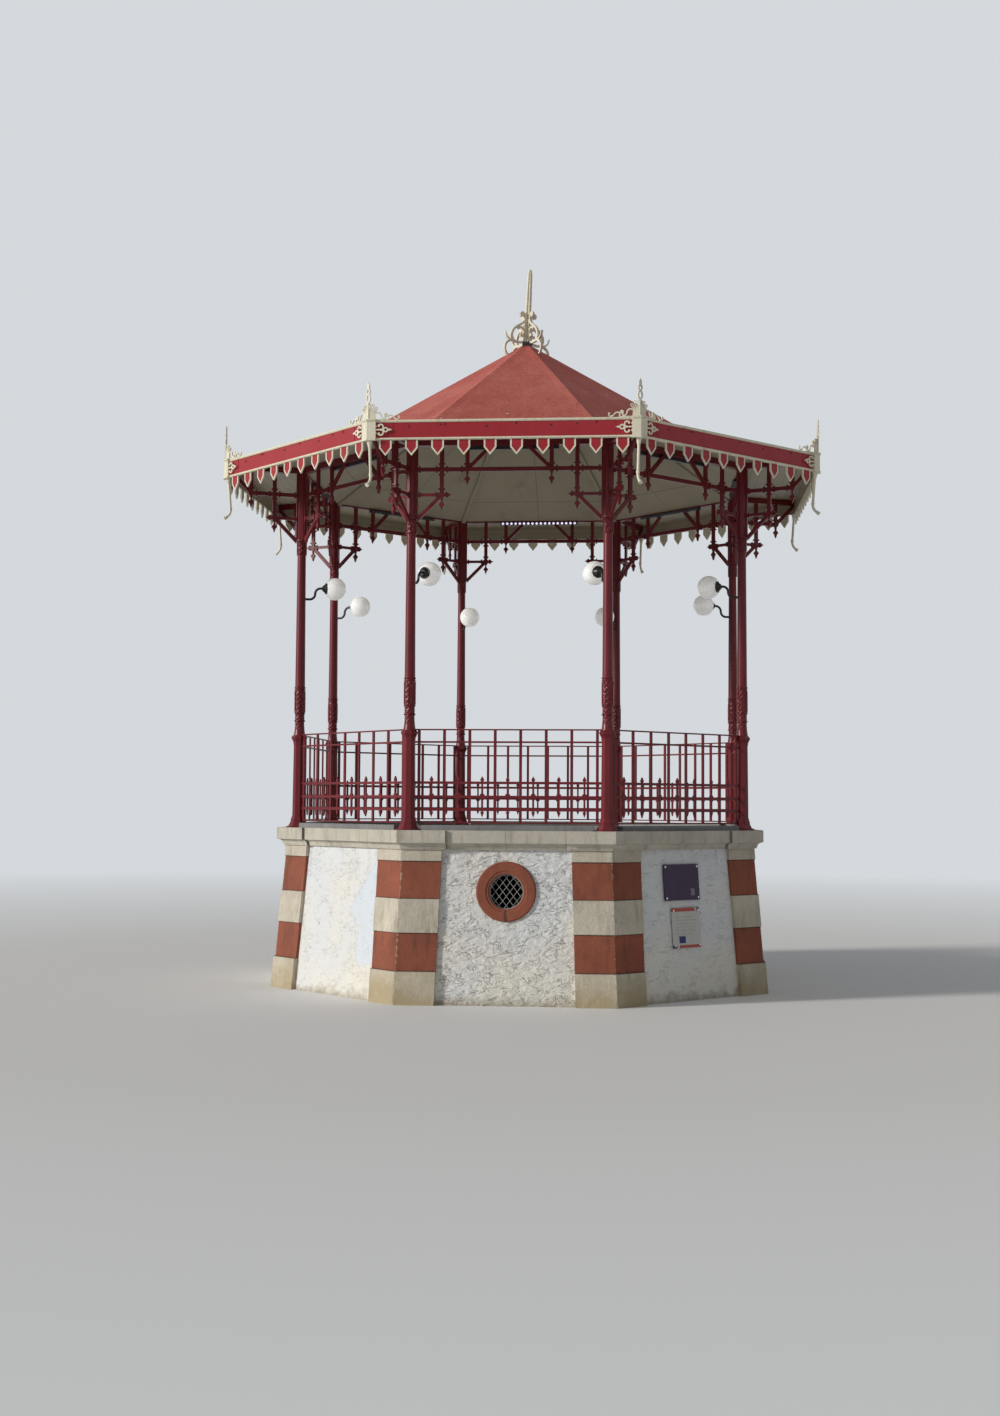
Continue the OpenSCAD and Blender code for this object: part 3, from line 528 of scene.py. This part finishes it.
def buildWallRender():
    material, tree, shader, where = startMaterial('PanelRoughcast', 0.92)
    along, outward, up, flat = placeOnSide(tree, where)
    w = wallTint
    coat = placeGroup(tree, roughcastCoat, Vector=flat, Lump_Scale=11.5)
    # Painted light: a cool tint of sky-lit shade towards the top and a warm tint of sunlight
    # towards the bottom, in broad cloudy patches
    sunAndShadeClouds = difference(tree, noiseValue(tree, flat, 1.1, 5, 0.55), product(tree, up, 0.16))
    colour = mixColour(tree, remap(tree, sunAndShadeClouds, 0.22, 0.52), w["skylit_cool"], w["sunlit_warm"])
    # The front and rear panels carry a coarser throw than the others
    sideways = absolute(tree, splitPlace(tree, where)['X'])
    coarse = remap(tree, sideways, w["coarse_within"], w["calm_beyond"], 1.0, 0.5)
    # Painted shade in the creases between the lumps, stronger on the coarser panels
    creaseShade = product(tree, coat['Pits'], coarse, coarse, 0.34)
    colour = mixColour(tree, creaseShade, colour, w["pit_shade"])
    streaks = remap(tree, noiseValue(tree, flat, 6.0, 5, 0.6, (2.2, 0.3, 1.0)), 0.5, 0.75)
    runs = product(tree, streaks, remap(tree, up, 1.05, 1.53), 0.6)
    colour = mixColour(tree, runs, colour, w["run"])
    ragged = total(tree, up, sway(tree, flat, 0.06, 7.0, 5, 0.65))
    colour = mixColour(tree, remap(tree, ragged, 0.0, 0.10, 0.75, 0.0), colour, w["foot"])
    # Painted shade in small scattered holes
    holeShade = product(tree, scatteredDots(tree, where, 3.4, 0.045), 0.8)
    colour = mixColour(tree, holeShade, colour, w["pit_shade"])
    repair = repairedArea(tree, where, along, up)
    colour = mixColour(tree, product(tree, repair, 0.75), colour, w["repair"])
    # Painted shade: the faces inside the closed plinth are drawn near-black
    colour = mixColour(tree, below(tree, outward, w["inside_below"]), colour, w["inside"])
    setNode(tree, shader, Base_Color=colour, Specular_IOR_Level=0.25)
    height = product(tree, coat['Height'], coarse, remap(tree, repair, 0.0, 1.0, 1.0, 0.5))
    bumpFrom(tree, shader, height, 1.0, 0.030)
    return material


repairPatch = {"front_left": 2.3, "slope": 1.255, "slope_over": -0.652, "fall": 0.972,
               "fall_over": 1.075, "narrow_from": 0.35, "narrow_above": 0.34}


def repairedArea(tree, where, along, up):
    # Smooth patch by the right-hand edge of the front left panel, under a sloping edge:
    # wide above a line that falls away, and below it a narrow part beside the pier
    r = repairPatch
    place = splitPlace(tree, where)
    wobble = sway(tree, where, 0.05, 8.0, 5, 0.65)
    across, upward = total(tree, along, wobble), total(tree, up, wobble)
    frontLeft = product(tree, below(tree, place['X'], 0.0),
                        above(tree, product(tree, place['X'], place['Y']), r["front_left"]))
    slope = difference(tree, product(tree, across, r["slope"]), upward)
    fall = total(tree, product(tree, across, r["fall"]), upward)
    narrow = product(tree, above(tree, across, r["narrow_from"]),
                     above(tree, upward, r["narrow_above"]))
    wideOrNarrow = strongest(tree, above(tree, fall, r["fall_over"]), narrow)
    return product(tree, frontLeft, above(tree, slope, r["slope_over"]), wideOrNarrow)


fasciaBands = {"red_low": 5.5545, "red_high": 5.7045, "inner_below": 3.1745, "board": 0.063,
               "inner": (0.36, 0.32, 0.23, 1), "inner_joint": (0.10, 0.085, 0.06, 1)}


def buildFasciaPaint():
    material, tree, shader, where = startMaterial('FasciaPaint', 0.38)
    side = placeOnSide(tree, where)
    b = fasciaBands
    red = placeGroup(tree, wornPaint, Vector=where, Grime_Amount=0.3, **crimsonCoat)
    cream = placeGroup(tree, wornPaint, Vector=where, Paint=(0.78, 0.73, 0.56, 1),
                       Faded=(0.70, 0.66, 0.52, 1), Grime=(0.28, 0.25, 0.17, 1),
                       Fading=0.7, Grime_Amount=0.45, Patch_Scale=6.0, Sheen_Roughness=0.42)
    middle = between(tree, side['Up'], b["red_low"], b["red_high"])
    colour = mixColour(tree, middle, cream['Colour'], red['Colour'])
    # The face towards the deck is painted like the soffit, on boards one above the other
    lines = jointMask(tree, side['Up'], b["board"], 0.0035)
    inner = mixColour(tree, product(tree, lines, 0.7), b["inner"], b["inner_joint"])
    colour = mixColour(tree, below(tree, side['Out'], b["inner_below"]), colour, inner)
    setNode(tree, shader, Base_Color=colour, Specular_IOR_Level=0.28)
    dents = remap(tree, noiseValue(tree, side['Flat'], 3.2, 2, 0.4), 0.3, 0.7)
    bumpFrom(tree, shader, dents, 0.35, 0.012)
    return material


# The notice carries plain bars, plain lines and a plain square, each placed by its
# lower, upper, left and right edges, and the dark plate above it has one small pale square
noticeRed = (0.42, 0.075, 0.05, 1)
noticeBlack = (0.06, 0.06, 0.065, 1)
plateLook = {"lean": 0.085, "face": 2.51, "level": 1.416, "stud": 0.0215, "notice_top": 0.97,
             "line_pitch": 0.034, "line_width": 0.0045, "line_left": -0.205,
             "lines": (0.66, 0.86), "line_ink": (0.20, 0.20, 0.21, 1),
             "printed": ((noticeRed, (0.904, 0.940, -0.25, 0.095)),
                         (noticeRed, (0.534, 0.566, -0.155, 0.17)),
                         (noticeBlack, (0.904, 0.940, 0.12, 0.17)),
                         (noticeBlack, (0.534, 0.566, -0.25, -0.19)),
                         ((0.025, 0.027, 0.16, 1), (0.585, 0.655, -0.155, -0.060))),
             "pale_ink": (0.24, 0.22, 0.26, 1), "pale": (1.065, 1.135, 0.055, 0.110)}


def platePatch(tree, along, up, low, high, left, right):
    return product(tree, between(tree, up, low, high), between(tree, along, left, right))


def buildPlatePaint():
    material, tree, shader, where = startMaterial('EnamelPlates', 0.28)
    side = placeOnSide(tree, where)
    along, up = side['Along'], side['Up']
    p = plateLook
    violet = placeGroup(tree, wornPaint, Vector=where, Paint=(0.042, 0.020, 0.060, 1),
                        Faded=(0.064, 0.036, 0.082, 1), Grime=(0.02, 0.012, 0.026, 1),
                        Fading=0.6, Grime_Amount=0.4, Patch_Scale=3.0, Sheen_Roughness=0.25)
    white = placeGroup(tree, wornPaint, Vector=where, Paint=(0.56, 0.555, 0.52, 1),
                       Faded=(0.50, 0.49, 0.45, 1), Grime=(0.30, 0.28, 0.25, 1),
                       Fading=0.6, Grime_Amount=0.4, Patch_Scale=5.0, Sheen_Roughness=0.4)
    lines = product(tree, jointMask(tree, up, p["line_pitch"], p["line_width"]),
                    between(tree, up, *p["lines"]),
                    between(tree, along, p["line_left"], lineEnds(tree, up)))
    printed = mixColour(tree, product(tree, lines, 0.6), white['Colour'], p["line_ink"])
    for ink, edges in p["printed"]:
        printed = mixColour(tree, platePatch(tree, along, up, *edges), printed, ink)
    pale = product(tree, platePatch(tree, along, up, *p["pale"]), 0.8)
    upper = mixColour(tree, pale, violet['Colour'], p["pale_ink"])
    colour = mixColour(tree, below(tree, up, p["notice_top"]), upper, printed)
    # Bare metal on the studs' heads, which stand proud of the leaning plates
    rise = product(tree, difference(tree, up, p["level"]), p["lean"])
    proud = difference(tree, total(tree, side['Out'], rise), p["face"])
    stud = above(tree, proud, p["stud"])
    colour = mixColour(tree, stud, colour, (0.55, 0.55, 0.55, 1))
    setNode(tree, shader, Base_Color=colour, Metallic=stud, Specular_IOR_Level=0.25)
    return material


def lineEnds(tree, up):
    # Ragged right-hand ends for the plain lines, a new length for each
    steps = mathNode(tree, 'ROUND', mathNode(tree, 'DIVIDE', up, plateLook["line_pitch"]))
    swing = mathNode(tree, 'SINE', product(tree, steps, 2.4))
    return remap(tree, swing, -1.0, 1.0, 0.02, 0.12)


boardLook = {"width": 0.098, "joint": (0.09, 0.075, 0.05, 1)}


def buildBoardPaint():
    # Soffit boards run along the eaves, so their joints keep one distance from the centre
    material, tree, shader, where = startMaterial('OliveBoards', 0.6)
    paint = placeGroup(tree, wornPaint, Vector=where, Paint=(0.38, 0.34, 0.245, 1),
                       Faded=(0.44, 0.40, 0.30, 1), Grime=(0.15, 0.125, 0.085, 1),
                       Fading=0.8, Grime_Amount=0.55, Patch_Scale=1.8, Sheen_Roughness=0.5)
    lines = jointMask(tree, placeOnSide(tree, where)['Out'], boardLook["width"], 0.004)
    colour = mixColour(tree, product(tree, lines, 0.75), paint['Colour'], boardLook["joint"])
    setNode(tree, shader, Base_Color=colour, Roughness=paint['Roughness'])
    bumpFrom(tree, shader, difference(tree, paint['Height'], lines), 0.35, 0.004)
    return material


ceilingLook = {"ring_joint": 2.080, "paint": (0.40, 0.355, 0.26, 1),
               "faded": (0.35, 0.31, 0.225, 1), "line": (0.11, 0.09, 0.06, 1),
               "stain": (0.22, 0.18, 0.12, 1)}


def buildCeilingPaint():
    # Sheets with one joint up the middle of each slope and one across it
    material, tree, shader, where = startMaterial('CeilingSheets', 0.6)
    side = placeOnSide(tree, where)
    c = ceilingLook
    patches = remap(tree, noiseValue(tree, where, 1.3, 5, 0.6), 0.35, 0.7)
    colour = mixColour(tree, patches, c["paint"], c["faded"])
    stains = remap(tree, noiseValue(tree, where, 2.7, 7, 0.7), 0.56, 0.74, 0.0, 0.55)
    colour = mixColour(tree, stains, colour, c["stain"])
    lines = strongest(tree, jointAt(tree, side['Out'], c["ring_joint"], 0.006),
                      jointAt(tree, side['Along'], 0.0, 0.006))
    colour = mixColour(tree, product(tree, lines, 0.75), colour, c["line"])
    setNode(tree, shader, Base_Color=colour)
    sag = noiseValue(tree, where, 1.6, 2, 0.4)
    bumpFrom(tree, shader, difference(tree, sag, product(tree, lines, 0.1)), 0.4, 0.05)
    return material


roofLook = {"front": (0.44, 0.098, 0.078, 1), "worn": (0.54, 0.165, 0.13, 1),
            "deep": (0.27, 0.055, 0.045, 1), "speck": (0.66, 0.58, 0.52, 1),
            "laps": (0.92, 1.86, 2.62), "hip_reach": 0.10}


def buildRoofPaint():
    # Painted felt: grainy, with faint laps across each slope and soft rolls over the hips
    material, tree, shader, where = startMaterial('PaintedFelt', 0.8)
    side = placeOnSide(tree, where)
    r = roofLook
    patches = remap(tree, noiseValue(tree, where, 1.5, 6, 0.62), 0.36, 0.68)
    colour = mixColour(tree, patches, r["front"], r["worn"])
    streaks = noiseValue(tree, side['Flat'], 3.0, 6, 0.65, (2.4, 0.35, 1.0))
    colour = mixColour(tree, remap(tree, streaks, 0.52, 0.75, 0.0, 0.5), colour, r["deep"])
    wave = sway(tree, where, 0.035, 2.0, 3, 0.5)
    waved = total(tree, side['Out'], wave)
    laps = strongest(tree, *[jointAt(tree, waved, distance, 0.012) for distance in r["laps"]])
    colour = mixColour(tree, product(tree, laps, 0.4), colour, r["deep"])
    speckle = noiseValue(tree, where, 34.0, 5, 0.8)
    colour = mixColour(tree, remap(tree, speckle, 0.50, 0.62, 0.0, 0.6), colour, r["deep"])
    colour = mixColour(tree, remap(tree, speckle, 0.47, 0.36, 0.0, 0.4), colour, r["worn"])
    colour = mixColour(tree, scatteredDots(tree, where, 3.2, 0.042), colour, r["speck"])
    setNode(tree, shader, Base_Color=colour, Specular_IOR_Level=0.2)
    toHip = distanceToCorner(tree, side['Along'], side['Out'])
    roll = remap(tree, total(tree, toHip, wave), 0.0, r["hip_reach"], 1.0, 0.0)
    height = total(tree, product(tree, roll, 0.4),
                   product(tree, noiseValue(tree, where, 140.0, 3, 0.7), 0.06),
                   product(tree, noiseValue(tree, where, 2.4, 3, 0.5), 0.5))
    bumpFrom(tree, shader, height, 0.8, 0.03)
    return material


apexLook = {"cap_top": 7.342, "cap_reach": 0.072, "cap": (0.025, 0.022, 0.02, 1)}


def buildApexPaint():
    # Cream like the other trim, drawn near-black low down near the axis, on the cap at its foot
    material, tree, shader, where = startMaterial('ApexPaint', 0.45)
    a = apexLook
    paint = placeGroup(tree, wornPaint, Vector=where, Paint=(0.78, 0.73, 0.57, 1),
                       Faded=(0.70, 0.66, 0.53, 1), Grime=(0.25, 0.22, 0.15, 1),
                       Fading=0.7, Grime_Amount=0.5, Patch_Scale=6.0, Sheen_Roughness=0.42)
    x, y, z = splitPlace(tree, where)
    reach = mathNode(tree, 'SQRT', total(tree, product(tree, x, x), product(tree, y, y)))
    cap = product(tree, below(tree, z, a["cap_top"]), below(tree, reach, a["cap_reach"]))
    colour = mixColour(tree, cap, paint['Colour'], a["cap"])
    setNode(tree, shader, Base_Color=colour, Roughness=paint['Roughness'])
    bumpFrom(tree, shader, paint['Height'], 0.12, 0.002)
    return material


glassLook = {"clear": (0.97, 0.965, 0.95, 1), "veiled": (0.94, 0.935, 0.915, 1),
             "painted_daylight": (1.0, 0.975, 0.92, 1), "painted_daylight_strength": 0.20}


def buildOpalGlass():
    material, tree, shader, where = startMaterial('OpalGlass', 0.12)
    g = glassLook
    veil = remap(tree, noiseValue(tree, where, 6.0, 4, 0.6), 0.35, 0.75)
    setNode(tree, shader, Base_Color=mixColour(tree, veil, g["clear"], g["veiled"]),
            Subsurface_Weight=1.0, Subsurface_Radius=(1.0, 1.0, 1.0), Subsurface_Scale=0.25,
            Coat_Weight=0.8, Coat_Roughness=0.05)
    # Painted light: a faint glow of the unlit glass, standing in for daylight that passes through
    # it
    setNode(tree, shader, Emission_Color=g["painted_daylight"], Emission_Strength=g["painted_daylight_strength"])
    return material


wallRender = buildWallRender()
ceilingPaint = buildCeilingPaint()
roofPaint = buildRoofPaint()
apexPaint = buildApexPaint()
fasciaPaint = buildFasciaPaint()
platePaint = buildPlatePaint()
boardPaint = buildBoardPaint()
opalGlass = buildOpalGlass()

# Nodes that aren't named here get the iron's paint
finishes = {
    "plinth_walls": wallRender, "pier_stones": greyStone, "pier_painted_blocks": terracotta,
    "cornice": paleStone, "deck_floor": deckStone, "kerb_stones": kerbStone,
    "vent_surrounds": terracotta, "vent_grilles": wirePaint, "wall_plates": platePaint,
    "soffit_boards": boardPaint, "fascia_boards": fasciaPaint, "valance_tabs": creamPaint,
    "corner_boxes": creamPaint, "corner_finials": creamPaint, "rain_spouts": creamPaint,
    "roof_ribs": ceilingPaint, "ceiling_boards": ceilingPaint, "roof_covering": roofPaint,
    "apex_finial": apexPaint, "lamp_arms": darkPaint, "lamp_globes": opalGlass,
    "light_bars": housingPaint,
}
for name, node in cadNodes.items():
    material = finishes.get(name, ironPaint)
    for holder in [node] + list(node.children_recursive):
        if holder.type == 'MESH':
            holder.data.materials.clear()
            holder.data.materials.append(material)
print("finishes on", len(cadNodes), "nodes")


# Red centres of the pointed tabs

tabRed = {"width": 0.091, "thick": 0.0025, "top": 5.5315, "shoulder": 5.4612, "tip": 5.4005,
          "tip_share": 0.03, "face": 3.1868, "pitch": 0.257, "count": 10}


def buildTabCentres():
    t = tabRed
    plate = addBox((t["width"], t["thick"], t["top"] - t["shoulder"]),
                   (0, 0, (t["top"] + t["shoulder"]) / 2))
    selectFaces(plate, lambda face: face.normal.z < -0.9)
    down = (0, 0, t["tip"] - t["shoulder"])
    bpy.ops.mesh.extrude_region_move(TRANSFORM_OT_translate={"value": down})
    bpy.ops.transform.resize(value=(t["tip_share"], 1, 1))
    bpy.ops.object.mode_set(mode='OBJECT')
    half = (t["count"] - 1) / 2
    places = [onSide(i, ((k - half) * t["pitch"], -t["face"] + t["thick"] / 2, 0))
              for i in range(sideCount) for k in range(t["count"])]
    finishPiece(placeCopies(plate, places, "tab_centres"), redPaint)


buildTabCentres()


# Cover strips over the fascia's joints, one near each end of every side

coverStrip = {"width": 0.008, "proud": 0.003, "low": 5.5545, "high": 5.7045, "face": 3.194,
              "from_middle": 1.084}


def buildCoverStrips():
    c = coverStrip
    strip = addBox((c["width"], c["proud"], c["high"] - c["low"]),
                   (0, 0, (c["high"] + c["low"]) / 2))
    places = [onSide(i, (s * c["from_middle"], -c["face"] - c["proud"] / 2, 0))
              for i in range(sideCount) for s in (-1, 1)]
    finishPiece(placeCopies(strip, places, "fascia_cover_strips"), redPaint)


buildCoverStrips()


# Bolt heads in a loose row along the upper part of every fascia

fasciaBolt = {"radius": 0.010, "proud": 0.005, "inset": 0.003, "crown": 0.0015, "face": 3.194,
              "height": 5.676, "stray": 0.012,
              "places": (-0.93, -0.62, -0.58, -0.17, 0.12, 0.46, 0.71, 0.90)}


def buildFasciaBolts():
    b = fasciaBolt
    deselectAll()
    bpy.ops.mesh.primitive_cylinder_add(vertices=10, radius=b["radius"], depth=b["proud"],
                                        rotation=(math.radians(90), 0, 0))
    bolt = bpy.context.object
    bpy.ops.object.transform_apply(location=False, rotation=True, scale=True)
    selectFaces(bolt, lambda face: face.normal.y < -0.9)
    bpy.ops.mesh.inset(thickness=b["inset"], depth=b["crown"])
    bpy.ops.object.mode_set(mode='OBJECT')
    places = [onSide(i, (x, -b["face"] - b["proud"] / 2,
                         b["height"] + b["stray"] * math.sin(9 * x + i)))
              for i in range(sideCount) for x in b["places"]]
    finishPiece(placeCopies(bolt, places, "fascia_bolts"), ironPaint)


buildFasciaBolts()
print("eaves dressed")


# Lenses of the light bars, on the side that faces the deck

lightLens = {"radius": 0.0155, "flatten": 0.6, "face": 2.3545, "height": 5.612, "pitch": 0.0545,
             "count": 18, "rear_beyond": 2.25, "glow": 0.9,
             "lit": ((0.90, 0.88, 1.0, 1), (0.74, 0.62, 1.0, 1)),
             "unlit": ((0.13, 0.125, 0.135, 1), (0.08, 0.078, 0.09, 1))}


def buildLensGlow():
    # Only the rear bar is switched on
    material, tree, shader, where = startMaterial('LightLens', 0.2)
    n = lightLens
    core = remap(tree, noiseValue(tree, where, 40.0, 2, 0.5), 0.3, 0.7)
    rear = above(tree, splitPlace(tree, where)['Y'], n["rear_beyond"])
    lit = mixColour(tree, core, *n["lit"])
    unlit = mixColour(tree, core, *n["unlit"])
    setNode(tree, shader, Base_Color=mixColour(tree, rear, unlit, lit),
            Emission_Color=mixColour(tree, rear, (0, 0, 0, 1), lit), Emission_Strength=n["glow"])
    return material


def buildLightLenses():
    n = lightLens
    deselectAll()
    bpy.ops.mesh.primitive_uv_sphere_add(segments=12, ring_count=6, radius=n["radius"])
    lens = bpy.context.object
    bpy.ops.object.mode_set(mode='EDIT')
    bpy.ops.mesh.select_all(action='SELECT')
    bpy.ops.mesh.bisect(plane_co=(0, 0, 0), plane_no=(0, -1, 0), use_fill=True, clear_outer=True)
    bpy.ops.mesh.select_all(action='SELECT')
    bpy.ops.transform.resize(value=(1, n["flatten"], 1))
    bpy.ops.mesh.normals_make_consistent(inside=False)
    bpy.ops.object.mode_set(mode='OBJECT')
    half = (n["count"] - 1) / 2
    places = [onSide(i, ((k - half) * n["pitch"], -n["face"], n["height"]))
              for i in range(sideCount) for k in range(n["count"])]
    finishPiece(placeCopies(lens, places, "light_lenses"), buildLensGlow(), smooth=40)


buildLightLenses()
print("light bars dressed")


# Stage, light and camera

studio = {"radius": 60, "floor": (0.80, 0.79, 0.78, 1), "backdrop": (0.66, 0.69, 0.72, 1),
          "fade_from": 8.0, "fade_to": 32.0, "fill": (0.92, 0.96, 1.0, 1), "fill_strength": 0.28}


def seenRays(tree):
    # The backdrop's colour is only for the camera and for gloss and glass
    rays = tree.nodes.new('ShaderNodeLightPath').outputs
    return strongest(tree, rays['Is Camera Ray'], rays['Is Glossy Ray'],
                     rays['Is Transmission Ray'])


def mixShaders(tree, factor, first, second, target):
    mix = tree.nodes.new('ShaderNodeMixShader')
    for source, socket in zip((factor, first, second), mix.inputs):
        tree.links.new(source, socket)
    tree.links.new(mix.outputs[0], target)


def buildStage():
    deselectAll()
    bpy.ops.mesh.primitive_circle_add(vertices=96, radius=studio["radius"], fill_type='NGON',
                                      location=(0, 0, 0))
    floor = bpy.context.object
    floor.name = "studioFloor"
    material, tree, shader, where = startMaterial('StudioFloor', 0.85)
    shader.inputs['Base Color'].default_value = studio["floor"]
    length = addNode(tree, 'ShaderNodeVectorMath', operation='LENGTH', Vector=where)
    fade = remap(tree, length.outputs['Value'], studio["fade_from"], studio["fade_to"])
    glow = addNode(tree, 'ShaderNodeEmission', Color=studio["backdrop"], Strength=1.0)
    mixShaders(tree, product(tree, fade, seenRays(tree)), shader.outputs[0], glow.outputs[0],
               tree.nodes['Material Output'].inputs['Surface'])
    floor.data.materials.append(material)


def buildWorld():
    world = bpy.data.worlds.new("studioWorld")
    bpy.context.scene.world = world
    world.use_nodes = True
    tree = world.node_tree
    tree.nodes.clear()
    fill = addNode(tree, 'ShaderNodeBackground', Color=studio["fill"],
                   Strength=studio["fill_strength"])
    backdrop = addNode(tree, 'ShaderNodeBackground', Color=studio["backdrop"], Strength=1.0)
    out = tree.nodes.new('ShaderNodeOutputWorld')
    mixShaders(tree, seenRays(tree), fill.outputs[0], backdrop.outputs[0], out.inputs['Surface'])


keyLight = {"strength": 2.75, "softness": 8.0, "colour": (1.0, 0.97, 0.92),
            "from_left": (-0.84, -0.38, 0.30)}


def buildKeyLight():
    deselectAll()
    bpy.ops.object.light_add(type='SUN', location=(-10, -4, 10))
    sun = bpy.context.object
    sun.data.energy = keyLight["strength"]
    sun.data.angle = math.radians(keyLight["softness"])
    sun.data.color = keyLight["colour"]
    sun.rotation_euler = Vector(keyLight["from_left"]).to_track_quat('Z', 'Y').to_euler()


viewPoint = {"place": (1.390, -19.716, 1.982), "yaw": 0.0849, "pitch": 0.0561, "roll": 0.0059,
             "lens": 62.13}


def buildCamera():
    v = viewPoint
    deselectAll()
    bpy.ops.object.camera_add(location=v["place"])
    camera = bpy.context.object
    level = math.cos(v["pitch"])
    forward = Vector((-math.sin(v["yaw"]) * level, math.cos(v["yaw"]) * level,
                      math.sin(v["pitch"])))
    right = Vector((math.cos(v["yaw"]), math.sin(v["yaw"]), 0))
    up = right.cross(forward)
    across = right * math.cos(v["roll"]) + up * math.sin(v["roll"])
    upright = -right * math.sin(v["roll"]) + up * math.cos(v["roll"])
    turned = Matrix((across, upright, -forward)).transposed().to_4x4()
    camera.matrix_world = Matrix.Translation(v["place"]) @ turned
    camera.data.sensor_fit = 'HORIZONTAL'
    camera.data.sensor_width = 36
    camera.data.lens = v["lens"]
    camera.data.clip_end = 200
    bpy.context.scene.camera = camera


buildStage()
buildWorld()
buildKeyLight()
buildCamera()
bpy.context.scene.view_settings.view_transform = 'Standard'
print("stage, light and camera set")
